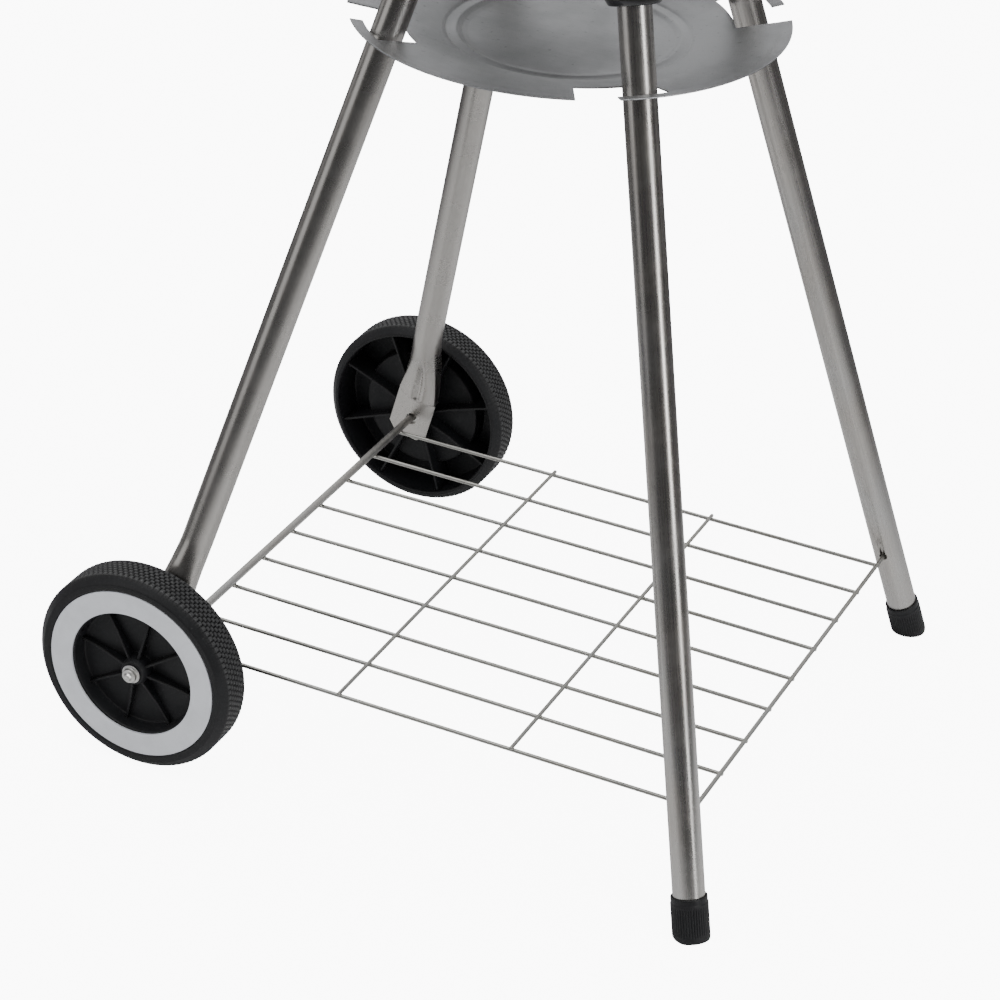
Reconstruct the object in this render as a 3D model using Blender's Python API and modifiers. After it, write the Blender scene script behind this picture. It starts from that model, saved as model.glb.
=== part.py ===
"""Kettle charcoal grill on four splayed tube legs, two of them on wheels.

The bowl's axis is the Z axis and the floor is z = 0. The wheels are on the -X side
and the rubber-capped feet on the +X side; -Y is the front.
"""

import math

import bmesh
import bpy
from mathutils import Matrix, Vector

# ---- driving dimensions, in metres ----
GAP = 0.0003  # left between pieces that touch

# legs: straight tubes whose centre lines run from a floor point to a point under the bowl
TUBE_R = 0.011
TUBE_WALL = 0.0012
FLOOR_X = 0.220
FLOOR_Y = 0.215
LEG_TOP = 0.0700  # x and y of the centre line at the upper end
LEG_TOP_Z = 0.600
TUBE_STEPS = 16

# sockets welded under the bowl, each with a screw that holds its leg
SOCKET_R = 0.0185
SOCKET_MOUTH_Z = 0.576
SOCKET_LENGTH = 0.050  # before its upper end is cut to the bowl
SCREW_R = 0.0020
SCREW_HEAD_R = 0.0042
SCREW_HEAD_THICK = 0.0032
SCREW_HEIGHT = 0.588

# caps on the two footed legs
FOOT_CAP_R = 0.0128
FOOT_CAP_LENGTH = 0.031
FOOT_CAP_FLOOR = 0.0068  # thickness under the tube's end

# wheels and axle
WHEEL_R = 0.076
WHEEL_WIDTH = 0.032
WHEEL_STEPS = 24
AXLE_R = 0.003
RUN_FIT = 0.0003
FLAT_Y = 0.195  # middle of the flattened leg ends
FLAT_THICK = 0.0027
FLAT_WIDTH = 0.0335
WASHER_THICK = 0.0015
HUB_R = 0.010
HUB_LENGTH = 0.0300
RING_IN = 0.0478
RING_OUT = 0.0646
RING_THICK = 0.0020
RIB_COUNT = 8
RIB_THICK = 0.0016
RIB_DEPTH = 0.0170
RIB_START = 0.0020  # how far the ribs stay inside the wheel's inner face
WEB_R = 0.0455  # the recessed web between hub and rim
WEB_THICK = 0.0030
TREAD_IN = 0.0665  # inner radius of the wall under the tread
RIM_IN = 0.0470
RIM_EDGE = 0.0050  # chamfer of the tread's shoulders
RING_SEAT = 0.0026  # how deep the trim ring is let in
WASHER_R = 0.008
CAP_R = 0.0070
CAP_HEIGHT = 0.0068
CAP_BORE_DEPTH = 0.0045
AXLE_END = 0.0040  # how far the axle reaches into its caps

# wire rack between the axle and the two footed legs
RACK_HALF_Y = 0.1756
LONG_WIRES = 9
LONG_WIRE_R = 0.0013
CROSS_WIRE_R = 0.0012
CROSS_WIRE_X = 0.066
CROSS_WIRE_TIP = 0.0025  # past the outermost long wires
EDGE_ROD_R = 0.0020
EDGE_ROD_INSET = 0.004  # how far short of a leg's centre line the rod ends
WELD = 0.0004  # how far welded wires sink into each other

# ash pan
PAN_R = 0.1457
PAN_RIM_Z = 0.529
PAN_SHEET = 0.0010
PAN_WELL = 0.0165
PAN_STEPS = 36
SLOT_IN = 0.1095
SLOT_OUT = 0.1370
SLOT_MOUTH_FROM = -19.0  # degrees, measured from the leg
SLOT_MOUTH_TO = -7.9
SLOT_END = 6.5

# bowl: part of a sphere; lid: a spherical crown, a tighter shoulder and a short skirt
SHEET = 0.0010
BOWL_SPHERE = 0.2293
BOWL_BOTTOM_Z = 0.586
BOWL_DEPTH = 0.185
BOWL_FLANGE = 0.231
LID_SPHERE = 0.310
LID_CROWN_ANGLE = 36.0  # degrees from the top to where the shoulder begins
LID_RIM_R = 0.229
LID_SKIRT = 0.008
LID_FLANGE = 0.232
RIM_GAP = 0.0006
WALL_SAG = 0.0012  # how far a shell's flat facets lie inside its sphere
SHELL_STEPS = 32

# vents: a riveted damper disc over four holes
BOWL_VENT_DISC = 0.048
BOWL_VENT_HOLE = 0.009
BOWL_VENT_PITCH = 0.030
LID_VENT_DISC = 0.036
LID_VENT_HOLE = 0.007
LID_VENT_PITCH = 0.022
LID_VENT_TILT = 20.0  # degrees from the top of the lid, towards the front
BOWL_TAB = 0.024
LID_TAB = 0.016
DAMPER_SHEET = 0.0010
DAMPER_GAP = 0.0005
TAB_LIFT = math.radians(12)
TAB_WIDTH = 0.014
TAB_THICK = 0.0012
CUT_REACH = 0.02  # how far a hole's cutter goes either side of the wall
RIVET_R = 0.0025
RIVET_HOLE_R = 0.0028

# grates
COOK_Z = 0.757
COOK_RING_R = 0.2115
COOK_RING_WIRE = 0.0030
COOK_BARS = 23
COOK_BAR_PITCH = 0.0176
COOK_BAR_R = 0.0020
COAL_Z = 0.667
COAL_R = 0.163
COAL_BARS = 11
COAL_BAR_PITCH = 0.030
COAL_BAR_R = 0.0025
COOK_BRACE_X = 0.085
COAL_BRACE_X = 0.050
LOOP_WIRE_R = 0.0022
LOOP_HALF_WIDTH = 0.030
LOOP_INSET = 0.190
LOOP_RISE = 0.010
SUPPORT_WALL = 0.2162  # where the support wires meet the bowl
SUPPORT_INSET = 0.2060
SUPPORT_HALF_WIDTH = 0.012

# handles: a bent rod through a turned wooden grip
ROD_R = 0.004
ROD_BEND = 0.012
ROD_HALF_SPAN = 0.052
GRIP_R = 0.013
GRIP_HALF_LENGTH = 0.038
GRIP_END_R = 0.0105
GRIP_CHAMFER = 0.0015
BOWL_HANDLE_Z = 0.741
LID_HANDLE_RISE = 0.052

# ---- dimensions that follow from them ----
SLOPE_X = (FLOOR_X - LEG_TOP) / LEG_TOP_Z
SLOPE_Y = (FLOOR_Y - LEG_TOP) / LEG_TOP_Z
AXLE_Z = WHEEL_R
AXLE_X = FLOOR_X - SLOPE_X * AXLE_Z
FLAT_OUTER_Y = FLAT_Y + FLAT_THICK / 2
WASHER_Y = FLAT_OUTER_Y + GAP
WHEEL_Y = WASHER_Y + WASHER_THICK + GAP  # inner face of the wheels
NUT_Y = WHEEL_Y + HUB_LENGTH + GAP
LONG_WIRE_Z = AXLE_Z - AXLE_R - GAP - LONG_WIRE_R
EDGE_ROD_Z = LONG_WIRE_Z + LONG_WIRE_R + EDGE_ROD_R - WELD
EDGE_ROD_X = FLOOR_X - SLOPE_X * EDGE_ROD_Z
BOWL_CENTRE = Vector((0, 0, BOWL_BOTTOM_Z + BOWL_SPHERE))
BOWL_RIM_Z = BOWL_BOTTOM_Z + BOWL_DEPTH
BOWL_RIM_R = math.sqrt(BOWL_SPHERE**2 - (BOWL_CENTRE.z - BOWL_RIM_Z) ** 2)
LID_BOTTOM_Z = BOWL_RIM_Z + 2 * SHEET + RIM_GAP
CROWN_SIN = math.sin(math.radians(LID_CROWN_ANGLE))
CROWN_COS = math.cos(math.radians(LID_CROWN_ANGLE))
LID_SHOULDER = (LID_RIM_R - LID_SPHERE * CROWN_SIN) / (1 - CROWN_SIN)
LID_DOME = LID_SPHERE - (LID_SPHERE - LID_SHOULDER) * CROWN_COS
LID_TOP_Z = LID_BOTTOM_Z + LID_SKIRT + LID_DOME
LID_CENTRE = Vector((0, 0, LID_TOP_Z - LID_SPHERE))
HANDLE_REACH = AXLE_X + WHEEL_R  # as far out as the wheels
DOWN = Vector((0, 0, -1))
LID_VENT_AXIS = Vector(
    (0, -math.sin(math.radians(LID_VENT_TILT)), math.cos(math.radians(LID_VENT_TILT)))
)

# (disc radius, hole pitch radius, hole radius, tab length, side of the tab) of each damper
BOWL_VENT = (BOWL_VENT_DISC, BOWL_VENT_PITCH, BOWL_VENT_HOLE, BOWL_TAB, 1)
LID_VENT = (LID_VENT_DISC, LID_VENT_PITCH, LID_VENT_HOLE, LID_TAB, -1)

# ---- scene, collections and materials ----
for old in list(bpy.data.objects):
    bpy.data.objects.remove(old)

PARTS = bpy.data.collections.new("kettle_grill")
CUTTERS = bpy.data.collections.new("cutters")
bpy.context.scene.collection.children.link(PARTS)
bpy.context.scene.collection.children.link(CUTTERS)


def material(name, colour, roughness, metallic):
    """A plain Principled material."""
    made = bpy.data.materials.new(name)
    made.use_nodes = True
    made.diffuse_color = (*colour, 1.0)
    shader = made.node_tree.nodes["Principled BSDF"]
    shader.inputs["Base Color"].default_value = (*colour, 1.0)
    shader.inputs["Roughness"].default_value = roughness
    shader.inputs["Metallic"].default_value = metallic
    return made


def steel_tube():
    return material("steel_tube", (0.60, 0.58, 0.56), 0.22, 1.0)


def wire_steel():
    return material("wire_steel", (0.52, 0.52, 0.51), 0.35, 1.0)


def pan_metal():
    return material("pan_metal", (0.36, 0.37, 0.37), 0.50, 1.0)


def black_enamel():
    return material("black_enamel", (0.012, 0.012, 0.013), 0.12, 0.0)


def black_plastic():
    return material("black_plastic", (0.018, 0.018, 0.019), 0.50, 0.0)


def pale_ring():
    return material("pale_ring", (0.74, 0.75, 0.77), 0.45, 0.0)


def bright_zinc():
    return material("bright_zinc", (0.66, 0.66, 0.65), 0.25, 1.0)


def grate_steel():
    return material("grate_steel", (0.58, 0.58, 0.58), 0.25, 1.0)


def grip_wood():
    return material("grip_wood", (0.30, 0.14, 0.06), 0.50, 0.0)


STEEL_TUBE = steel_tube()
WIRE_STEEL = wire_steel()
PAN_METAL = pan_metal()
BLACK_ENAMEL = black_enamel()
BLACK_PLASTIC = black_plastic()
PALE_RING = pale_ring()
BRIGHT_ZINC = bright_zinc()
GRATE_STEEL = grate_steel()
GRIP_WOOD = grip_wood()


# ---- general builders ----
def add_part(obj, look):
    """Puts an object among the parts, with its material and smooth shading."""
    for collection in list(obj.users_collection):
        collection.objects.unlink(obj)
    PARTS.objects.link(obj)
    obj.data.materials.clear()
    obj.data.materials.append(look)
    if obj.type == "MESH":
        obj.data.shade_smooth()
        obj.data.set_sharp_from_angle(angle=math.radians(35))
    return obj


def add_cutter(obj):
    """Puts an object among the cutters, which are no parts of the grill."""
    for collection in list(obj.users_collection):
        collection.objects.unlink(obj)
    CUTTERS.objects.link(obj)
    obj.hide_render = True
    obj.display_type = "WIRE"
    return obj


def from_bmesh(name, bm):
    mesh = bpy.data.meshes.new(name)
    bm.to_mesh(mesh)
    bm.free()
    return bpy.data.objects.new(name, mesh)


def turned(name, profile, steps, closed=False):
    """Turns a profile of (radius, height) points round Z."""
    mesh = bpy.data.meshes.new(name)
    count = len(profile)
    edges = [(i, i + 1) for i in range(count - 1)]
    if closed:
        edges.append((count - 1, 0))
    mesh.from_pydata([(r, 0.0, z) for r, z in profile], edges, [])
    obj = bpy.data.objects.new(name, mesh)
    screw = obj.modifiers.new("turn", "SCREW")
    screw.axis = "Z"
    screw.angle = math.tau
    screw.steps = steps
    screw.render_steps = steps
    screw.use_merge_vertices = True
    screw.merge_threshold = 0.00005
    return obj


def thicken(obj, thickness, offset):
    """Gives an open surface its wall: offset -1 builds inwards, 1 outwards."""
    wall = obj.modifiers.new("wall", "SOLIDIFY")
    wall.thickness = thickness
    wall.offset = offset
    return obj


def boolean(obj, other, operation):
    step = obj.modifiers.new(operation.lower(), "BOOLEAN")
    step.operation = operation
    step.solver = "EXACT"
    step.object = other
    return obj


def struts(name, runs, radius, sides):
    """One mesh of straight round bars, one for each (start, end) pair."""
    bm = bmesh.new()
    for start, end in runs:
        start = Vector(start)
        along = Vector(end) - start
        turn = along.to_track_quat("Z", "Y").to_matrix().to_4x4()
        bmesh.ops.create_cone(
            bm,
            cap_ends=True,
            segments=sides,
            radius1=radius,
            radius2=radius,
            depth=along.length,
            matrix=Matrix.Translation(start + along / 2) @ turn,
        )
    return from_bmesh(name, bm)


def rod(name, points, radius, look, resolution=2):
    """A round rod along straight runs between the points."""
    curve = bpy.data.curves.new(name, "CURVE")
    curve.dimensions = "3D"
    curve.bevel_depth = radius
    curve.bevel_resolution = resolution
    curve.use_fill_caps = True
    line = curve.splines.new("POLY")
    line.points.add(len(points) - 1)
    for place, point in zip(line.points, points):
        place.co = (*point, 1.0)
    return add_part(bpy.data.objects.new(name, curve), look)


def as_mesh(obj):
    """Replaces a curve object by a closed mesh object of the same name."""
    bpy.context.view_layer.update()
    graph = bpy.context.evaluated_depsgraph_get()
    mesh = bpy.data.meshes.new_from_object(obj.evaluated_get(graph))
    bm = bmesh.new()
    bm.from_mesh(mesh)
    bmesh.ops.remove_doubles(bm, verts=bm.verts, dist=0.00001)
    bmesh.ops.recalc_face_normals(bm, faces=bm.faces)
    bm.to_mesh(mesh)
    bm.free()
    name = obj.name
    place = obj.matrix_world.copy()
    looks = list(obj.data.materials)
    bpy.data.objects.remove(obj)
    made = bpy.data.objects.new(name, mesh)
    made.matrix_world = place
    if looks:
        add_part(made, looks[0])
    return made


def outlines(name, loops, half_height):
    """Flat closed outlines in the XY plane, extruded up and down by half_height."""
    curve = bpy.data.curves.new(name, "CURVE")
    curve.dimensions = "2D"
    curve.fill_mode = "BOTH"
    curve.extrude = half_height
    for loop in loops:
        line = curve.splines.new("POLY")
        line.points.add(len(loop) - 1)
        line.use_cyclic_u = True
        for place, (x, y) in zip(line.points, loop):
            place.co = (x, y, 0.0, 1.0)
    return curve


def rounded(points, radius, steps=3):
    """The path through the points with each inner corner turned into an arc."""
    path = [Vector(points[0])]
    for before, corner, after in zip(points, points[1:], points[2:]):
        corner = Vector(corner)
        back = (Vector(before) - corner).normalized()
        ahead = (Vector(after) - corner).normalized()
        half = back.angle(ahead) / 2
        reach = radius / math.tan(half)
        centre = corner + (back + ahead).normalized() * radius / math.sin(half)
        first = (corner + back * reach - centre).normalized()
        last = (corner + ahead * reach - centre).normalized()
        for i in range(steps + 1):
            path.append(centre + first.slerp(last, i / steps) * radius)
    path.append(Vector(points[-1]))
    return path


def arc(radius, start, end, steps, centre=(0.0, 0.0)):
    """Points (r, z) on an arc; angles in degrees from the +Z direction towards +X."""
    made = []
    for i in range(steps + 1):
        angle = math.radians(start + (end - start) * i / steps)
        made.append(
            (centre[0] + radius * math.sin(angle), centre[1] + radius * math.cos(angle))
        )
    return made


def leg_point(side_x, side_y, height):
    """The point of a leg's centre line at a height."""
    x = FLOOR_X - SLOPE_X * height
    y = FLOOR_Y - SLOPE_Y * height
    return Vector((side_x * x, side_y * y, height))


def leg_axis(side_x, side_y):
    """The unit direction up a leg."""
    top = leg_point(side_x, side_y, LEG_TOP_Z)
    return (top - leg_point(side_x, side_y, 0.0)).normalized()


def along(obj, place, axis):
    """Stands an object built on Z at a place with its Z along an axis."""
    obj.location = place
    obj.rotation_euler = axis.to_track_quat("Z", "Y").to_euler()
    return obj


def on_axle(obj, side, distance):
    """Places a turned piece on the axle, its Z pointing outwards."""
    obj.location = (-AXLE_X, side * distance, AXLE_Z)
    obj.rotation_euler = (math.radians(-90 * side), 0, 0)
    return obj


# ---- legs, sockets and feet ----
def straight_leg(name, side_y):
    """A footed leg: a straight tube with a hole for the rack's edge rod."""
    axis = leg_axis(1, side_y)
    foot = leg_point(1, side_y, 0.0) + axis * 0.004
    length = (leg_point(1, side_y, LEG_TOP_Z) - foot).length
    bore = TUBE_R - TUBE_WALL
    profile = [(TUBE_R, length), (TUBE_R, 0.0), (bore, 0.0), (bore, length)]
    tube = along(turned(name, profile, TUBE_STEPS, closed=True), foot, axis)
    middle = leg_point(1, side_y, EDGE_ROD_Z)
    inside = Vector((EDGE_ROD_X, middle.y - side_y * 0.018, EDGE_ROD_Z))
    drill = struts(name + "_drill", [(middle, inside)], EDGE_ROD_R + GAP, 12)
    boolean(tube, add_cutter(drill), "DIFFERENCE")
    screw_hole(tube, 1, side_y)
    return add_part(tube, STEEL_TUBE)


def leg_section(centre, up, across, half_width, half_thick, flatness):
    """Points round a tube section that goes from round (0) to flat (1)."""
    thin = up.cross(across).normalized()
    points = []
    for i in range(TUBE_STEPS):
        angle = math.tau * i / TUBE_STEPS
        c = math.cos(angle)
        s = math.sin(angle)
        wide = math.copysign(abs(c) ** (1 - 0.25 * flatness), c)
        high = math.copysign(abs(s) ** (1 - 0.65 * flatness), s)
        points.append(centre + across * wide * half_width + thin * high * half_thick)
    return points


def loft(sections):
    """A closed bmesh through rings of points, with both ends filled."""
    bm = bmesh.new()
    rings = [[bm.verts.new(p) for p in section] for section in sections]
    for low, high in zip(rings, rings[1:]):
        for i in range(len(low)):
            j = (i + 1) % len(low)
            bm.faces.new((low[i], low[j], high[j], high[i]))
    bm.faces.new(list(reversed(rings[0])))
    bm.faces.new(rings[-1])
    bmesh.ops.recalc_face_normals(bm, faces=bm.faces)
    return bm


def wheel_leg(name, side_y):
    """A leg on a wheel: the tube's lower end is pressed flat and drilled for the axle."""
    axis = leg_axis(-1, side_y)
    lean = Vector((-SLOPE_X, 0, -1)).normalized() * -1
    flat_x = Vector((lean.z, 0, -lean.x))
    # (height, half width, half thickness, flatness) from the lower end to the round tube
    stations = [
        (AXLE_Z - 0.0165, 0.0100, FLAT_THICK / 2, 1.0),
        (AXLE_Z - 0.0085, FLAT_WIDTH / 2, FLAT_THICK / 2, 1.0),
        (AXLE_Z + 0.0240, FLAT_WIDTH / 2, FLAT_THICK / 2, 1.0),
        (AXLE_Z + 0.0330, 0.0158, 0.0032, 0.8),
        (AXLE_Z + 0.0420, 0.0148, 0.0056, 0.45),
        (AXLE_Z + 0.0540, 0.0130, 0.0086, 0.15),
        (AXLE_Z + 0.0700, TUBE_R, TUBE_R, 0.0),
    ]
    sections = []
    for height, width, thick, flatness in stations:
        centre = leg_point(-1, side_y, height)
        blend = min(1.0, max(0.0, (AXLE_Z + 0.070 - height) / 0.046))
        blend = blend * blend * (3 - 2 * blend)
        centre.y = side_y * (abs(centre.y) * (1 - blend) + FLAT_Y * blend)
        up = (axis * (1 - blend) + lean * blend).normalized()
        across = (flat_x - up * flat_x.dot(up)).normalized()
        sections.append(leg_section(centre, up, across, width, thick, flatness))
    across = (flat_x - axis * flat_x.dot(axis)).normalized()
    top = leg_point(-1, side_y, LEG_TOP_Z)
    sections.append(leg_section(top, axis, across, TUBE_R, TUBE_R, 0.0))
    leg = from_bmesh(name, loft(sections))

    hollow_run = (leg_point(-1, side_y, AXLE_Z + 0.080), top + axis * 0.01)
    hollow = struts(name + "_bore", [hollow_run], TUBE_R - TUBE_WALL, TUBE_STEPS)
    boolean(leg, add_cutter(hollow), "DIFFERENCE")
    hole = Vector((-AXLE_X, side_y * FLAT_Y, AXLE_Z))
    reach = Vector((0, 0.01, 0))
    drill = struts(name + "_drill", [(hole - reach, hole + reach)], AXLE_R + GAP, 16)
    boolean(leg, add_cutter(drill), "DIFFERENCE")
    screw_hole(leg, -1, side_y)
    return add_part(leg, STEEL_TUBE)


def outward(side_x, side_y):
    """The horizontal direction away from the bowl's axis, square to a leg."""
    axis = leg_axis(side_x, side_y)
    away = Vector((side_x, side_y, 0)).normalized()
    return (away - axis * away.dot(axis)).normalized()


def screw_hole(obj, side_x, side_y):
    """Drills the outer side of a leg or socket for its locking screw."""
    middle = leg_point(side_x, side_y, SCREW_HEIGHT)
    tip = middle + outward(side_x, side_y) * 0.030
    drill = struts(obj.name + "_screw_drill", [(middle, tip)], SCREW_R + GAP, 12)
    return boolean(obj, add_cutter(drill), "DIFFERENCE")


def leg_socket(name, side_x, side_y, envelope):
    """A black boss under the bowl that the tube is pushed into."""
    axis = leg_axis(side_x, side_y)
    mouth = leg_point(side_x, side_y, SOCKET_MOUTH_Z)
    bore = TUBE_R + GAP
    depth = (leg_point(side_x, side_y, LEG_TOP_Z) - mouth).length + 0.001
    profile = [
        (0.0, SOCKET_LENGTH),
        (SOCKET_R - 0.0015, SOCKET_LENGTH),
        (SOCKET_R, 0.004),
        (SOCKET_R - 0.0020, 0.0),
        (bore, 0.0),
        (bore, depth),
        (0.0, depth),
    ]
    socket = along(turned(name, profile, TUBE_STEPS), mouth, axis)
    boolean(socket, envelope, "DIFFERENCE")
    screw_hole(socket, side_x, side_y)
    return add_part(socket, BLACK_ENAMEL)


def leg_screw(name, side_x, side_y):
    """A hexagon-headed screw through the socket's outer side into the tube."""
    away = outward(side_x, side_y)
    middle = leg_point(side_x, side_y, SCREW_HEIGHT)
    under_head = SOCKET_R + GAP
    top = middle + away * (under_head + SCREW_HEAD_THICK)
    head = struts(name, [(middle + away * under_head, top)], SCREW_HEAD_R, 6)
    tip = middle + away * (TUBE_R - TUBE_WALL) * 0.6
    shank_run = (tip, middle + away * (under_head + SCREW_HEAD_THICK / 2))
    shank = struts(name + "_shank", [shank_run], SCREW_R, 10)
    boolean(head, add_cutter(shank), "UNION")
    return add_part(head, BRIGHT_ZINC)


def foot_cap(name, side_y):
    """A plastic cap on a leg's lower end, levelled where it meets the floor."""
    axis = leg_axis(1, side_y)
    low = leg_point(1, side_y, 0.0) - axis * 0.003
    bore = TUBE_R + GAP
    inside = [(0.0, FOOT_CAP_FLOOR), (bore, FOOT_CAP_FLOOR)]
    outside = [
        (bore, FOOT_CAP_LENGTH),
        (FOOT_CAP_R - 0.0004, FOOT_CAP_LENGTH),
        (FOOT_CAP_R, FOOT_CAP_LENGTH - 0.0010),
        (FOOT_CAP_R, 0.0012),
        (FOOT_CAP_R - 0.0012, 0.0),
        (0.0, 0.0),
    ]
    cap = along(turned(name, inside + outside, TUBE_STEPS), low, axis)
    bpy.ops.mesh.primitive_cube_add(size=0.08, location=(low.x, low.y, -0.04))
    floor = bpy.context.active_object
    floor.name = name + "_floor"
    boolean(cap, add_cutter(floor), "DIFFERENCE")
    return add_part(cap, BLACK_PLASTIC)


# ---- axle, wheels and rack ----
def axle():
    half = NUT_Y + AXLE_END
    run = ((-AXLE_X, -half, AXLE_Z), (-AXLE_X, half, AXLE_Z))
    bar = struts("axle", [run], AXLE_R, 12)
    return add_part(bar, BRIGHT_ZINC)


def wheel(name, side):
    """A moulded wheel of even wall: tread, stepped web, hub tube and ribs on both sides."""
    bore = AXLE_R + RUN_FIT
    width = WHEEL_WIDTH
    seat = width - RING_SEAT
    web_inner = (width + 0.001 - WEB_THICK) / 2
    web_outer = web_inner + WEB_THICK
    tread_in = WHEEL_R - RIM_EDGE - 0.0005
    profile = [
        (bore, HUB_LENGTH),
        (HUB_R - 0.001, HUB_LENGTH),
        (HUB_R, HUB_LENGTH - 0.001),
        (HUB_R, web_outer),
        (WEB_R, web_outer),
        (RIM_IN, seat),
        (RING_OUT + 0.0004, seat),
        (RING_OUT + 0.0004, width - 0.0006),
        (tread_in, width),
        (WHEEL_R, width - RIM_EDGE),
        (WHEEL_R, RIM_EDGE),
        (tread_in, 0.0),
        (TREAD_IN + 0.0015, 0.0),
        (TREAD_IN, seat - WEB_THICK),
        (RIM_IN + WEB_THICK, seat - WEB_THICK),
        (WEB_R + WEB_THICK, web_inner),
        (HUB_R, web_inner),
        (HUB_R, 0.0),
        (bore, 0.0),
    ]
    body = on_axle(turned(name, profile, WHEEL_STEPS, closed=True), side, WHEEL_Y)
    start = HUB_R - 0.001
    middle = (width + 0.001) / 2
    # (inner radius, outer radius, lower end, upper end) of each rib's three stretches
    stretches = [
        (start, RIM_IN - 0.0005, middle - 0.001, middle + RIB_DEPTH / 2),
        (start, TREAD_IN + 0.0010, RIB_START, middle),
        (WEB_R + 0.0010, TREAD_IN + 0.0010, middle - 0.0005, seat - WEB_THICK / 2),
    ]
    for near, far, low, high in stretches:
        bm = bmesh.new()
        place = Matrix.Translation(((near + far) / 2, 0, (low + high) / 2))
        size = Matrix.Diagonal((far - near, RIB_THICK, high - low, 1.0))
        for i in range(RIB_COUNT):
            turn = Matrix.Rotation(math.tau * (i + 0.5) / RIB_COUNT, 4, "Z")
            bmesh.ops.create_cube(bm, size=1.0, matrix=turn @ place @ size)
        ribs = on_axle(add_cutter(from_bmesh(name + "_ribs", bm)), side, WHEEL_Y)
        boolean(body, ribs, "UNION")
    return add_part(body, BLACK_PLASTIC)


def wheel_ring(name, side):
    """The pale trim ring set in the wheel's outer face."""
    low = WHEEL_WIDTH - RING_SEAT + GAP
    high = low + RING_THICK
    profile = [(RING_IN, high), (RING_OUT, high), (RING_OUT, low), (RING_IN, low)]
    ring = on_axle(turned(name, profile, WHEEL_STEPS, closed=True), side, WHEEL_Y)
    return add_part(ring, PALE_RING)


def wheel_washer(name, side):
    bore = AXLE_R + RUN_FIT
    top = WASHER_THICK
    profile = [(bore, top), (WASHER_R, top), (WASHER_R, 0.0), (bore, 0.0)]
    washer = on_axle(turned(name, profile, 16, closed=True), side, WASHER_Y)
    return add_part(washer, BRIGHT_ZINC)


def axle_cap(name, side):
    """The push-on cap that keeps the wheel on the axle."""
    bore = AXLE_R + GAP
    profile = [
        (0.0, CAP_HEIGHT),
        (0.0026, CAP_HEIGHT - 0.0005),
        (0.0050, CAP_HEIGHT - 0.0028),
        (0.0052, 0.0012),
        (CAP_R - 0.0001, 0.0010),
        (CAP_R, 0.0),
        (bore, 0.0),
        (bore, CAP_BORE_DEPTH),
        (0.0, CAP_BORE_DEPTH),
    ]
    cap = on_axle(turned(name, profile, 16), side, NUT_Y)
    return add_part(cap, BRIGHT_ZINC)


def rack():
    """Nine long wires under the axle and the edge rod, with two cross wires on top."""
    low = -AXLE_X - AXLE_R
    high = EDGE_ROD_X + EDGE_ROD_R
    pitch = 2 * RACK_HALF_Y / (LONG_WIRES - 1)
    runs = []
    for i in range(LONG_WIRES):
        y = -RACK_HALF_Y + pitch * i
        runs.append(((low, y, LONG_WIRE_Z), (high, y, LONG_WIRE_Z)))
    rod_end = leg_point(1, 1, EDGE_ROD_Z).y - EDGE_ROD_INSET
    edge_run = ((EDGE_ROD_X, -rod_end, EDGE_ROD_Z), (EDGE_ROD_X, rod_end, EDGE_ROD_Z))
    edge = struts("rack", [edge_run], EDGE_ROD_R, 8)
    long_wires = struts("rack_long_wires", runs, LONG_WIRE_R, 6)
    cross_z = LONG_WIRE_Z + LONG_WIRE_R + CROSS_WIRE_R - WELD
    cross_end = RACK_HALF_Y + CROSS_WIRE_TIP
    runs = []
    for x in (-CROSS_WIRE_X, CROSS_WIRE_X):
        runs.append(((x, -cross_end, cross_z), (x, cross_end, cross_z)))
    cross_wires = struts("rack_cross_wires", runs, CROSS_WIRE_R, 6)
    boolean(edge, add_cutter(long_wires), "UNION")
    boolean(edge, add_cutter(cross_wires), "UNION")
    return add_part(edge, WIRE_STEEL)


# ---- ash pan ----
def pan_slot(leg_angle):
    """The outline of one bayonet slot: a mouth in the rim and a channel to the leg."""
    def at(radius, degrees):
        angle = math.radians(leg_angle + degrees)
        return (radius * math.cos(angle), radius * math.sin(angle))

    beyond = PAN_R + 0.006
    loop = [at(beyond, SLOT_MOUTH_FROM), at(beyond, SLOT_MOUTH_TO)]
    steps = 4
    for i in range(steps + 1):
        loop.append(at(SLOT_OUT, SLOT_MOUTH_TO + (SLOT_END - SLOT_MOUTH_TO) * i / steps))
    for i in range(steps + 1):
        loop.append(at(SLOT_IN, SLOT_END + (SLOT_MOUTH_FROM - SLOT_END) * i / steps))
    return loop


def ash_pan():
    """A shallow dish with a pressed bead, hung between the legs by four slots."""
    profile = [
        (PAN_R, 0.0),
        (0.1385, -0.0012),
        (0.1100, -0.0072),
        (0.0860, -0.0125),
        (0.0790, -0.0150),
        (0.0740, -0.0120),
        (0.0680, -PAN_WELL),
        (0.0, -PAN_WELL),
    ]
    pan = turned("ash_pan", profile, PAN_STEPS)
    pan.location = (0, 0, PAN_RIM_Z)
    thicken(pan, PAN_SHEET, -1.0)
    top = leg_point(1, 1, PAN_RIM_Z)
    leg_angle = math.degrees(math.atan2(top.y, top.x))
    angles = [leg_angle, 180 - leg_angle, 180 + leg_angle, -leg_angle]
    curve = outlines("pan_slots", [pan_slot(a) for a in angles], 0.030)
    slots = as_mesh(add_cutter(bpy.data.objects.new("pan_slots", curve)))
    slots.location = (0, 0, PAN_RIM_Z)
    boolean(pan, add_cutter(slots), "DIFFERENCE")
    return add_part(pan, PAN_METAL)


# ---- bowl, lid and their dampers ----
def bowl_arc(growth):
    """(r, z) down the outside of the bowl from the rim to the pole, grown by growth."""
    rim_angle = 180 - math.degrees(math.asin(BOWL_RIM_R / BOWL_SPHERE))
    return arc(BOWL_SPHERE + growth, rim_angle, 180, 8, (0.0, BOWL_CENTRE.z))


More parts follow.
